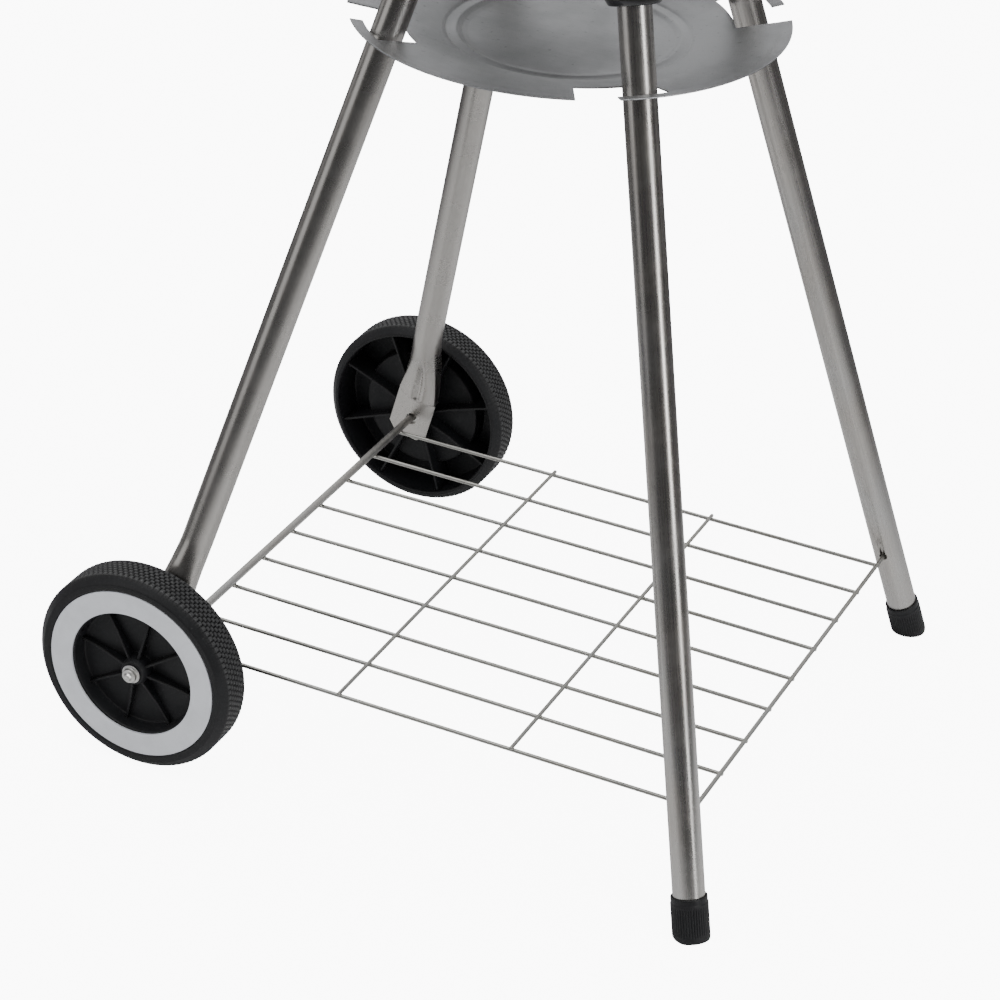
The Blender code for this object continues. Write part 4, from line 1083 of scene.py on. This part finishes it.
class GRILL_OT_rack(Operator):
    """Builds the axle and the wire rack welded to it"""

    bl_idname = "grill.rack"
    bl_label = "Axle and Rack"

    def execute(self, context):
        _, _, axle_size = box_size("axle")
        radius = axle_size[2] / 2
        half = axle_size[1] / 2 - 0.0008
        shaft = [bar(straight(AXLE - Y * half, AXLE + Y * half, 40), radius, X, 32, dome=0.25)]
        # The axle takes the zinc darkened as painted shade.
        make_piece("axle_rod", shaft, "frame", ["axle"], "bright_zinc", look="dull_zinc")
        make_piece("wire_rack", self.wires(), "frame", ["rack"], "wire_steel")
        return {"FINISHED"}

    def wires(self):
        """Nine long wires with the faint bow of real ones, two cross wires on them, the
        edge rod, and a bead of weld at every joint."""
        long_radius, cross_radius, rod_radius = 0.0015, 0.0014, 0.0016
        wire_z = RACK_LOW[2] + long_radius
        rod_z = RACK_HIGH[2] - 0.0020
        rod_x = RACK_HIGH[0] - 0.0020
        outermost, tip = 0.1756, 0.1772
        rows = np.linspace(-outermost, outermost, 9)
        sways = (0.0, 0.0005, -0.0006, 0.0014, 0.0022, 0.0016, 0.0008, -0.0005, 0.0)
        made = []
        for y, sway in zip(rows, sways):
            start = np.array([RACK_LOW[0] + 0.001, y, wire_z])
            end = np.array([rod_x - 0.0003, y, wire_z])
            made.append(bar(bow(start, end, sway), long_radius))
            made.append(weld((AXLE[0], y, wire_z + 0.0006), 0.0026))
            made.append(weld((rod_x - 0.0004, y, wire_z + 0.0009), 0.0017))
        cross_z = wire_z + long_radius + cross_radius - 0.0004
        for x in (-0.066, 0.066):
            made.append(bar(straight((x, -tip, cross_z), (x, tip, cross_z), 25), cross_radius, X))
            share = (x - RACK_LOW[0]) / RACK_SIZE[0]
            for y, sway in zip(rows, sways):
                made.append(weld((x, y + sway * math.sin(math.pi * share), wire_z + 0.0012), 0.0016))
        reach = RACK_HIGH[1] - 0.001
        made.append(bar(straight((rod_x, -reach, rod_z), (rod_x, reach, rod_z), 30), rod_radius, X, 20))
        return made


# ---- ash pan ----
def pan_surface():
    """The pan's upper and lower faces on a polar grid. Its height falls from the rim to
    the well, with a round bead between them. Grid lines lie on the edges of the four
    bayonet slots, so whole cells are left out to open them."""
    rim, rim_z = PAN_HIGH[0], PAN_HIGH[2]
    slot_in, slot_out = 0.1095, 0.1370
    mouth_from, mouth_to, slot_end = -19.0, -7.9, 6.5
    radii = np.unique(np.round(np.concatenate([
        [0.0], np.linspace(0.012, 0.066, 10), np.linspace(0.066, 0.082, 33), np.linspace(0.084, slot_in, 12),
        np.linspace(slot_in, slot_out, 12), np.linspace(slot_out, rim, 10),
    ]), 6))
    stations = np.array([0.0, 0.066, 0.0705, 0.074, 0.0775, 0.081, 0.086, 0.110, 0.1385, rim - 0.0012, rim])
    depths = np.array([16.5, 16.5, 15.9, 14.2, 14.6, 14.6, 12.5, 7.2, 1.5, 0.35, 0.0]) / 1000
    smooth = np.interp(radii, stations, depths)
    for _ in range(3):
        smooth[1:-1] = (smooth[:-2] + 2 * smooth[1:-1] + smooth[2:]) / 4
    marks = []
    for quarter in range(4):
        centre = 45.0 + 90.0 * quarter
        marks += [centre + mouth_from, centre + mouth_to, centre + slot_end]
    marks = np.array(sorted(marks))
    gaps = np.diff(np.append(marks, marks[0] + 360))
    angles = np.concatenate([
        mark + gap * np.arange(max(2, round(gap / 1.8))) / max(2, round(gap / 1.8))
        for mark, gap in zip(marks, gaps)
    ])
    return radii, smooth, angles, rim_z, (slot_in, slot_out, mouth_from, mouth_to, slot_end)


def pan_mesh():
    """An open sheet over the polar grid without the slots' cells, given its wall by a
    Solidify modifier and its soft edges by a Bevel."""
    radii, depths, angles, rim_z, slot = pan_surface()
    slot_in, slot_out, mouth_from, mouth_to, slot_end = slot
    turn = np.radians(angles)
    places = np.stack([
        radii[:, None] * np.cos(turn), radii[:, None] * np.sin(turn),
        np.repeat(rim_z - depths[:, None], len(turn), axis=1),
    ], axis=-1)
    ring = len(angles)
    index = np.arange(len(radii) * ring).reshape(len(radii), ring)
    wrapped = np.concatenate([index, index[:, :1]], axis=1)
    cells = np.stack([wrapped[:-1, :-1], wrapped[1:, :-1], wrapped[1:, 1:], wrapped[:-1, 1:]], axis=-1)
    middle_r = (radii[:-1] + radii[1:])[:, None] / 2
    step = np.diff(np.append(angles, angles[0] + 360)) / 2
    from_leg = np.mod(angles + step, 90.0) - 45.0
    channel = (middle_r > slot_in) & (middle_r < slot_out) & (from_leg > mouth_from) & (from_leg < slot_end)
    mouth = (middle_r >= slot_out) & (from_leg > mouth_from) & (from_leg < mouth_to)
    kept = cells[~(channel | mouth)].reshape(-1, 4)
    flat = places.reshape(-1, 3)
    kept = np.where(kept < ring, 0, kept)
    first = kept[:, 0] == kept[:, 3]
    used, same = np.unique(kept, return_inverse=True)
    same = same.reshape(kept.shape)
    faces = same[~first].tolist() + same[first][:, :3].tolist()
    mesh = bpy.data.meshes.new("slotted_pan")
    mesh.from_pydata(flat[used].tolist(), [], faces)
    return mesh


class GRILL_OT_pan(Operator):
    """Builds the ash pan with its bead and its four bayonet slots"""

    bl_idname = "grill.pan"
    bl_label = "Ash Pan"

    def execute(self, context):
        piece = finish_mesh("slotted_pan", pan_mesh(), "ash_pan", ["ash_pan"], "pan_metal", 40)
        wall = piece.modifiers.new("wall", "SOLIDIFY")
        wall.thickness = SHEET
        wall.offset = -1.0
        edge = piece.modifiers.new("edge", "BEVEL")
        edge.width = 0.0003
        edge.segments = 2
        edge.limit_method = "ANGLE"
        edge.angle_limit = math.radians(50)
        return {"FINISHED"}


# ---- bowl, lid and dampers ----
def arc(centre, radius, start, end, steps):
    """(r, z) on an arc, its angles in degrees from +Z towards +R."""
    angle = np.radians(np.linspace(start, end, steps))
    return np.stack([centre[0] + radius * np.sin(angle), centre[1] + radius * np.cos(angle)], axis=1)


def bowl_profile():
    """A sphere's wall with its rim rolled outwards into a bead."""
    height, radius = bowl_sphere()
    rim = math.degrees(math.asin((BOWL_HIGH[0] - 0.0065) / radius))
    outside = arc((0, height), radius, 180, 180 - rim, 72)
    inside = arc((0, height), radius - SHEET, 180 - rim, 180, 72)
    roll = arc((BOWL_HIGH[0] - RIM_BEAD, BOWL_HIGH[2] - RIM_BEAD), RIM_BEAD, 200, -60, 18)
    return np.concatenate([outside[:-2], roll, inside[2:]])


def lid_profile():
    """A crown, a tighter shoulder tangent to it, a short skirt and a rolled rim."""
    turn = 36.0
    sine, cosine = math.sin(math.radians(turn)), math.cos(math.radians(turn))
    rim = LID_HIGH[0] - 0.003
    shoulder = (rim - LID_CROWN * sine) / (1 - sine)
    middle = (0, LID_HIGH[2] - LID_CROWN)
    inset = LID_CROWN - shoulder
    hip = (inset * sine, middle[1] + inset * cosine)
    outside = [arc(middle, LID_CROWN, 0, turn, 44)[:-1], arc(hip, shoulder, turn, 90, 44)]
    inside = [arc(hip, shoulder - SHEET, 90, turn, 44)[:-1], arc(middle, LID_CROWN - SHEET, turn, 0, 44)]
    roll = arc((LID_HIGH[0] - RIM_BEAD, LID_LOW[2] + RIM_BEAD), RIM_BEAD, -20, 250, 18)
    return np.concatenate(outside + [roll] + inside)


DAMPER_GAP = 0.0005  # between a damper and the wall it turns on
BOSS_RISE = 0.0009  # of a damper's middle
RIVET_HOLE = 0.0028


def vent_runs(centre, axis, sphere, pitch, hole):
    """Drill runs for four air holes and the rivet, square to the wall's middle."""
    front = np.cross(axis, X)
    start, end = axis * (sphere - 0.02), axis * (sphere + 0.02)
    runs = []
    for number in range(4):
        angle = TURN * (number + 0.5) / 4
        place = centre + pitch * (math.cos(angle) * X + math.sin(angle) * front)
        runs.append((place + start, place + end, hole))
    return runs + [(centre + start, centre + end, RIVET_HOLE)]


def damper(name, centre, axis, sphere, disc, pitch, hole, tab, body, node):
    """A dished disc with its middle raised a little, drilled like the wall, with a
    thumb tab that is a rounded strip lifted by 12 degrees."""
    inner = sphere + DAMPER_GAP
    edge = math.degrees(math.asin(disc / inner))
    under = arc((0, 0), inner, 0, edge, 24)
    boss = arc((0, 0), inner + SHEET, edge, 0, 24)
    boss[:, 1] += BOSS_RISE * (1 - smooth_step(boss[:, 0], 0.006, 0.011))
    shell = turned(np.concatenate([under, boss]), 120, centre, axis)
    front = np.cross(axis, X) * (1 if tab > 0 else -1)
    lift = math.radians(12)
    out = front * math.cos(lift) + axis * math.sin(lift)
    up = axis * math.cos(lift) - front * math.sin(lift)
    root = centre + axis * (inner * math.cos(math.radians(edge)) + 0.0012) + front * (disc - 0.003)
    end, straight_half, corner_radius = abs(tab) - 0.004, 0.003, 0.004
    ends = [
        (end + corner_radius * math.cos(a), straight_half * np.sign(a) + corner_radius * math.sin(a))
        for a in np.radians(np.linspace(-90, 90, 9))
    ]
    outline = [(0.0, -0.007)] + ends + [(0.0, 0.007)]
    tongue = plate([root + out * x + X * y for x, y in outline], 0.0006, up)
    mesh = drilled(name, [shell, tongue], vent_runs(centre, axis, sphere, pitch, hole))
    finish_mesh(name, mesh, body, [node], "bright_zinc", 40)


def rivet(name, centre, axis, sphere, body, node):
    """A domed head outside, a shank and a flat head inside, turned round the vent's axis."""
    outer = sphere + DAMPER_GAP + SHEET + BOSS_RISE
    inner = sphere - SHEET - GAP
    flat = inner - 0.0012
    head = arc((0, outer - 0.0032), 0.0058, 0, 58, 12)
    shank = softened(
        [(0.0049, outer), (0.0025, outer), (0.0025, inner), (0.0045, inner), (0.0045, flat), (0, flat)],
        0.0003,
    )
    profile = np.concatenate([head, shank])
    make_piece(name, [turned(profile, 48, centre, axis)], body, [node], "bright_zinc")


class GRILL_OT_kettle(Operator):
    """Builds the bowl and the lid with their vents, dampers and rivets"""

    bl_idname = "grill.kettle"
    bl_label = "Bowl and Lid"

    def execute(self, context):
        height, radius = bowl_sphere()
        vent = (Z * height, -Z, radius)
        self.shell("kettle_bowl", bowl_profile(), vent_runs(*vent, 0.030, 0.009), "frame", "bowl")
        damper("bowl_vent_disc", *vent, 0.048, 0.030, 0.009, 0.024, "bowl_damper", "bowl_damper")
        rivet("bowl_vent_rivet", *vent, "frame", "bowl_damper_rivet")
        tilt = math.radians(20)
        axis = np.array([0, -math.sin(tilt), math.cos(tilt)])
        vent = (Z * (LID_HIGH[2] - LID_CROWN), axis, LID_CROWN)
        self.shell("kettle_lid", lid_profile(), vent_runs(*vent, 0.022, 0.007), "lid", "lid")
        damper("lid_vent_disc", *vent, 0.036, 0.022, 0.007, -0.016, "lid_damper", "lid_damper")
        rivet("lid_vent_rivet", *vent, "lid", "lid_damper_rivet")
        return {"FINISHED"}

    def shell(self, name, profile, holes, body, node):
        """An enamelled shell turned round Z and drilled for its vent."""
        mesh = drilled(name, [turned(profile, 240, (0, 0, 0))], holes)
        finish_mesh(name, mesh, body, [node], "black_enamel", 30)


# ---- grates ----
def chord(radius, offset):
    """Half the length of a circle's chord at an offset from its middle."""
    return math.sqrt(radius * radius - offset * offset)


def wire_ring(radius, wire, height, around=180, section=14):
    """A closed ring of round wire: a small circle turned round Z."""
    angle = TURN * np.arange(section) / section
    profile = np.stack([radius + wire * np.cos(angle), height + wire * np.sin(angle)], axis=1)
    return turned(profile, around, (0, 0, 0), ring=True)


class GRILL_OT_grates(Operator):
    """Builds the cooking grate, the charcoal grate and the wires that carry them"""

    bl_idname = "grill.grates"
    bl_label = "Grates"

    def execute(self, context):
        make_piece("cooking_grid", self.cooking(), "cooking_grate", ["cooking_grate"], "grate_steel")
        make_piece("charcoal_grid", self.charcoal(), "charcoal_grate", ["charcoal_grate"], "grate_steel")
        for number in range(1, 5):
            node = "grate_support_%d" % number
            low, high, _ = box_size(node)
            wire = self.support(number, (low[2] + high[2]) / 2)
            make_piece("support_wire_%d" % number, [wire], "frame", [node], "grate_steel")
        return {"FINISHED"}

    def cooking(self):
        """A ring, parallel bars butted to it, two braces below and two lifting loops."""
        wire, rod = 0.0030, 0.0020
        radius = COOK_HIGH[0] - wire
        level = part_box("grate_support_1")[1].z + GAP + wire
        made = [wire_ring(radius, wire, level)]
        for y in (np.arange(23) - 11) * 0.0176:
            half = chord(radius, y)
            made.append(bar(straight((-half, y, level), (half, y, level)), rod, around=14))
        for x in (-0.085, 0.085):
            half = chord(radius, x)
            low = level - 2 * rod + 0.0004
            made.append(bar(straight((x, -half, low), (x, half, low)), rod, around=14))
        for side in (-1, 1):
            foot, inset, high = side * chord(radius, 0.030), side * 0.190, level + 0.010
            path = bent(
                [(foot, -0.030, level), (inset, -0.030, high), (inset, 0.030, high),
                 (foot, 0.030, level)],
                0.006,
            )
            made.append(bar(path, 0.0022, around=14))
        return made

    def charcoal(self):
        """Eleven bars on two cross bars."""
        rod, radius = 0.0025, 0.163
        level = COAL_HIGH[2] - rod
        made = []
        for x in (-0.050, 0.050):
            half = chord(radius, x)
            low = level - 2 * rod + 0.0004
            made.append(bar(straight((x, -half, low), (x, half, low)), rod, around=16))
        for y in (np.arange(11) - 5) * 0.030:
            half = chord(radius, y)
            made.append(bar(straight((-half, y, level), (half, y, level)), rod, around=16))
            made += [weld((x, y, level - rod + 0.0002), 0.0024) for x in (-0.050, 0.050)]
        return made

    def support(self, number, level):
        """A bent wire with its two ends on the bowl's wall."""
        turn = math.radians(90 * (number - 1) + 45)
        spoke = np.array([math.cos(turn), math.sin(turn), 0])
        across = np.array([-math.sin(turn), math.cos(turn), 0])
        corners = [(0.2162, -0.012), (0.2060, -0.012), (0.2060, 0.012), (0.2162, 0.012)]
        path = bent([spoke * r + across * t + Z * level for r, t in corners], 0.004)
        return bar(path, 0.0022, around=14)


# ---- handles ----
def grip_profile():
    """A turned sleeve: a gentle barrel with a bead and a groove near each end."""
    half = 0.038
    share = np.linspace(-1, 1, 81)
    height = share * half
    barrel = 0.0105 + 0.0025 * (1 - np.abs(share) ** 2.6)
    groove = 0.0007 * np.exp(-(((np.abs(height) - 0.0315) / 0.0009) ** 2))
    ends = 0.0012 * smooth_step(np.abs(height), half - 0.0016, half) ** 2
    outside = np.stack([barrel - groove - ends, height], axis=1)
    bore = 0.0043
    return np.concatenate([outside, [(bore, half), (bore, -half)]])


class GRILL_OT_handles(Operator):
    """Builds the two bowl handles and the lid handle"""

    bl_idname = "grill.handles"
    bl_label = "Handles"

    def execute(self, context):
        height, radius = bowl_sphere()
        half = HANDLE_REACH_Y
        for flank, side in FLANKS:
            grip_low, grip_high, _ = box_size("bowl_handle_%s_grip" % flank)
            centre = (grip_low + grip_high) / 2
            level, reach = centre[2], centre[0]
            root = side * math.sqrt((radius + 0.001) ** 2 - half**2 - (level - height) ** 2)
            path = bent(
                [(root, -half, level), (reach, -half, level), (reach, half, level),
                 (root, half, level)],
                0.012, 14,
            )
            feet = [self.foot((root, y, level), (side, 0, 0)) for y in (-half, half)]
            self.handle("bowl_%s" % flank, "frame", "bowl_handle_" + flank, path, Z, centre, feet)
        grip_low, grip_high, _ = box_size("lid_handle_grip")
        centre = (grip_low + grip_high) / 2
        root = LID_HIGH[2] - LID_CROWN + math.sqrt((LID_CROWN + 0.0006) ** 2 - half**2)
        level = centre[2]
        path = bent([(0, -half, root), (0, -half, level), (0, half, level), (0, half, root)], 0.012, 14)
        feet = [self.foot((0, y, root), Z) for y in (-half, half)]
        self.handle("lid", "lid", "lid_handle", path, X, centre, feet)
        return {"FINISHED"}

    def foot(self, place, axis):
        """A small turned collar where a rod meets the shell."""
        profile = softened(
            [(0.0, -0.0005), (0.0064, -0.0005), (0.0064, 0.0016), (0.0050, 0.0030), (0.0, 0.0030)], 0.0006
        )
        return turned(profile, 40, np.array(place, float), axis)

    def handle(self, label, body, nodes, path, side, centre, feet):
        """A bent rod with its collars, and the wooden grip on it."""
        rod = [bar(path, 0.004, side, 28)] + feet
        make_piece(label + "_handle_rod_bent", rod, body, [nodes + "_rod"], "bright_zinc")
        grip = turned(grip_profile(), 72, centre, Y, ring=True)
        make_piece(label + "_turned_grip", [grip], body, [nodes + "_grip"], "grip_wood", sharp=50)


# ---- stage ----
def sheet_piece(name, corners, look):
    """A flat rectangular stage sheet from its four corners."""
    mesh = bpy.data.meshes.new(name)
    mesh.from_pydata([tuple(map(float, corner)) for corner in corners], [], [(0, 1, 2, 3)])
    mesh.materials.append(look)
    made = bpy.data.objects.new(name, mesh)
    bpy.context.scene.collection.objects.link(made)
    return made


def area_light(name, place, target, size, size_y, power):
    """A soft rectangular light aimed at a point."""
    data = bpy.data.lights.new(name, "AREA")
    data.shape = "RECTANGLE"
    data.size = size
    data.size_y = size_y
    data.energy = power
    lamp = bpy.data.objects.new(name, data)
    lamp.location = place
    lamp.rotation_euler = (Vector(target) - Vector(place)).to_track_quat("-Z", "Y").to_euler()
    bpy.context.scene.collection.objects.link(lamp)
    return lamp


class GRILL_OT_stage(Operator):
    """Builds the floor, the soft studio light and the camera"""

    bl_idname = "grill.stage"
    bl_label = "Stage"

    def execute(self, context):
        sizes = context.scene.grill_stage
        toward = np.array([math.sin(sizes.azimuth), -math.cos(sizes.azimuth), 0.0])
        across = np.array([math.cos(sizes.azimuth), math.sin(sizes.azimuth), 0.0])
        half = 6.0
        floor = [(-half, -half, 0), (half, -half, 0), (half, half, 0), (-half, half, 0)]
        sheet_piece("studio_floor", floor, self.floor_look())
        context.scene.world = self.world(toward)
        middle = np.array([0.0, 0.0, 0.35])
        area_light("overhead_softbox", middle + Z * 2.6, middle, 2.6, 2.6, 70)
        right = middle + unit(toward + across * 1.15) * 2.6
        area_light("side_softbox", right + Z * 0.6, middle, 0.50, 2.6, 28)
        left = middle + unit(toward * 0.35 - across) * 2.6
        area_light("fill_softbox", left + Z * 0.5, middle, 1.5, 2.4, 10)
        self.camera(context, sizes)
        return {"FINISHED"}

    def floor_look(self):
        """White paper: brighter to the camera, and far out darker to glossy rays only: a painted
        dark reflection in the metal, which diffuse light and shadows don't meet."""
        made, tree, shader = start_material("floor_paper", 0.0, 0.9)
        shader.inputs["Specular IOR Level"].default_value = 0.1
        rays = tree.nodes.new("ShaderNodeLightPath").outputs
        place = object_place(tree)
        apart = tree.nodes.new("ShaderNodeVectorMath")
        apart.operation = "LENGTH"
        tree.links.new(place, apart.inputs[0])
        # Painted reflection: far out, glossy rays see the floor near black, while camera and diffuse rays see
        # it white.
        beyond = remap(tree, apart.outputs["Value"], 0.30, 0.95, 0.12, 0.93)
        painted_reflection_mask = maths(tree, "MULTIPLY", beyond, rays["Is Glossy Ray"])
        paper = mixed(tree, painted_reflection_mask, (0.86, 0.86, 0.86), (0.03, 0.03, 0.032))
        tree.links.new(paper, shader.inputs["Base Color"])
        shader.inputs["Emission Color"].default_value = (1.0, 1.0, 1.0, 1.0)
        glow = maths(tree, "MULTIPLY", rays["Is Camera Ray"], 9.0)
        tree.links.new(glow, shader.inputs["Emission Strength"])
        return made

    def world(self, toward):
        """White to the camera, even light on matt surfaces, and for metal a dark studio
        with a pale backdrop behind the object and light above it."""
        made = bpy.data.worlds.new("studio_world")
        made.use_nodes = True
        tree = made.node_tree
        back = tree.nodes["Background"]
        rays = tree.nodes.new("ShaderNodeLightPath").outputs
        ray = tree.nodes.new("ShaderNodeTexCoord").outputs["Generated"]
        ahead = tree.nodes.new("ShaderNodeVectorMath")
        ahead.operation = "DOT_PRODUCT"
        tree.links.new(ray, ahead.inputs[0])
        ahead.inputs[1].default_value = tuple(-toward)
        height = tree.nodes.new("ShaderNodeSeparateXYZ")
        tree.links.new(ray, height.inputs[0])
        behind = remap(tree, ahead.outputs["Value"], 0.1, 0.6)
        above = remap(tree, height.outputs["Z"], 0.45, 0.8)
        lit = remap(tree, maths(tree, "MAXIMUM", behind, above), 0, 1, 0.06, 0.9)
        level = mixed(tree, rays["Is Glossy Ray"], (0.75, 0.76, 0.77), lit)
        shown = mixed(tree, rays["Is Camera Ray"], level, (10.0, 10.0, 10.0))
        tree.links.new(shown, back.inputs["Color"])
        return made

    def camera(self, context, sizes):
        """Camera axes from azimuth a, elevation e and roll r: back = (sin a cos e,
        -cos a cos e, sin e), right = (cos a, sin a, 0) and up = back x right, with right
        and up then turned by r."""
        a, e, r = sizes.azimuth, sizes.elevation, sizes.roll
        back = np.array([math.sin(a) * math.cos(e), -math.cos(a) * math.cos(e), math.sin(e)])
        right = np.array([math.cos(a), math.sin(a), 0.0])
        up = np.cross(back, right)
        camera_x = right * math.cos(r) + up * math.sin(r)
        camera_y = up * math.cos(r) - right * math.sin(r)
        place = np.array(sizes.target) + back * sizes.distance
        data = bpy.data.cameras.new("studio_camera")
        data.sensor_width = 36.0
        data.lens = sizes.lens
        data.clip_end = 50.0
        camera = bpy.data.objects.new("studio_camera", data)
        turn = np.eye(4)
        turn[:3] = np.stack([camera_x, camera_y, back, place], axis=1)
        camera.matrix_world = Matrix(turn)
        context.scene.collection.objects.link(camera)
        context.scene.camera = camera


class GRILL_OT_finishes(Operator):
    """Makes the shared shader groups and every finish"""

    bl_idname = "grill.finishes"
    bl_label = "Finishes"

    def execute(self, context):
        build_groups()
        build_looks(context.scene.grill_colours)
        return {"FINISHED"}


OPERATORS = (
    GRILL_OT_finishes, GRILL_OT_legs, GRILL_OT_wheels, GRILL_OT_rack, GRILL_OT_pan,
    GRILL_OT_kettle, GRILL_OT_grates, GRILL_OT_handles, GRILL_OT_stage,
)


class GRILL_PT_panel(Panel):
    """Lists the grill's builders and sizes"""

    bl_idname = "GRILL_PT_panel"
    bl_label = "Kettle Grill"
    bl_space_type = "VIEW_3D"
    bl_region_type = "UI"
    bl_category = "Grill"

    def draw(self, context):
        for operator in OPERATORS:
            self.layout.operator(operator.bl_idname)
        for name, group in GROUPS.items():
            column = self.layout.column()
            for key in group.__annotations__:
                column.prop(getattr(context.scene, name), key)


def register():
    for group in GROUPS.values():
        bpy.utils.register_class(group)
    for name, group in GROUPS.items():
        setattr(bpy.types.Scene, name, PointerProperty(type=group))
    for operator in OPERATORS:
        bpy.utils.register_class(operator)
    bpy.utils.register_class(GRILL_PT_panel)


def unregister():
    bpy.utils.unregister_class(GRILL_PT_panel)
    for operator in reversed(OPERATORS):
        bpy.utils.unregister_class(operator)
    for name, group in reversed(list(GROUPS.items())):
        delattr(bpy.types.Scene, name)
        bpy.utils.unregister_class(group)


def main():
    """Builds everything."""
    register()
    for operator in OPERATORS:
        family, action = operator.bl_idname.split(".")
        getattr(getattr(bpy.ops, family), action)()


if __name__ == "__main__":
    main()
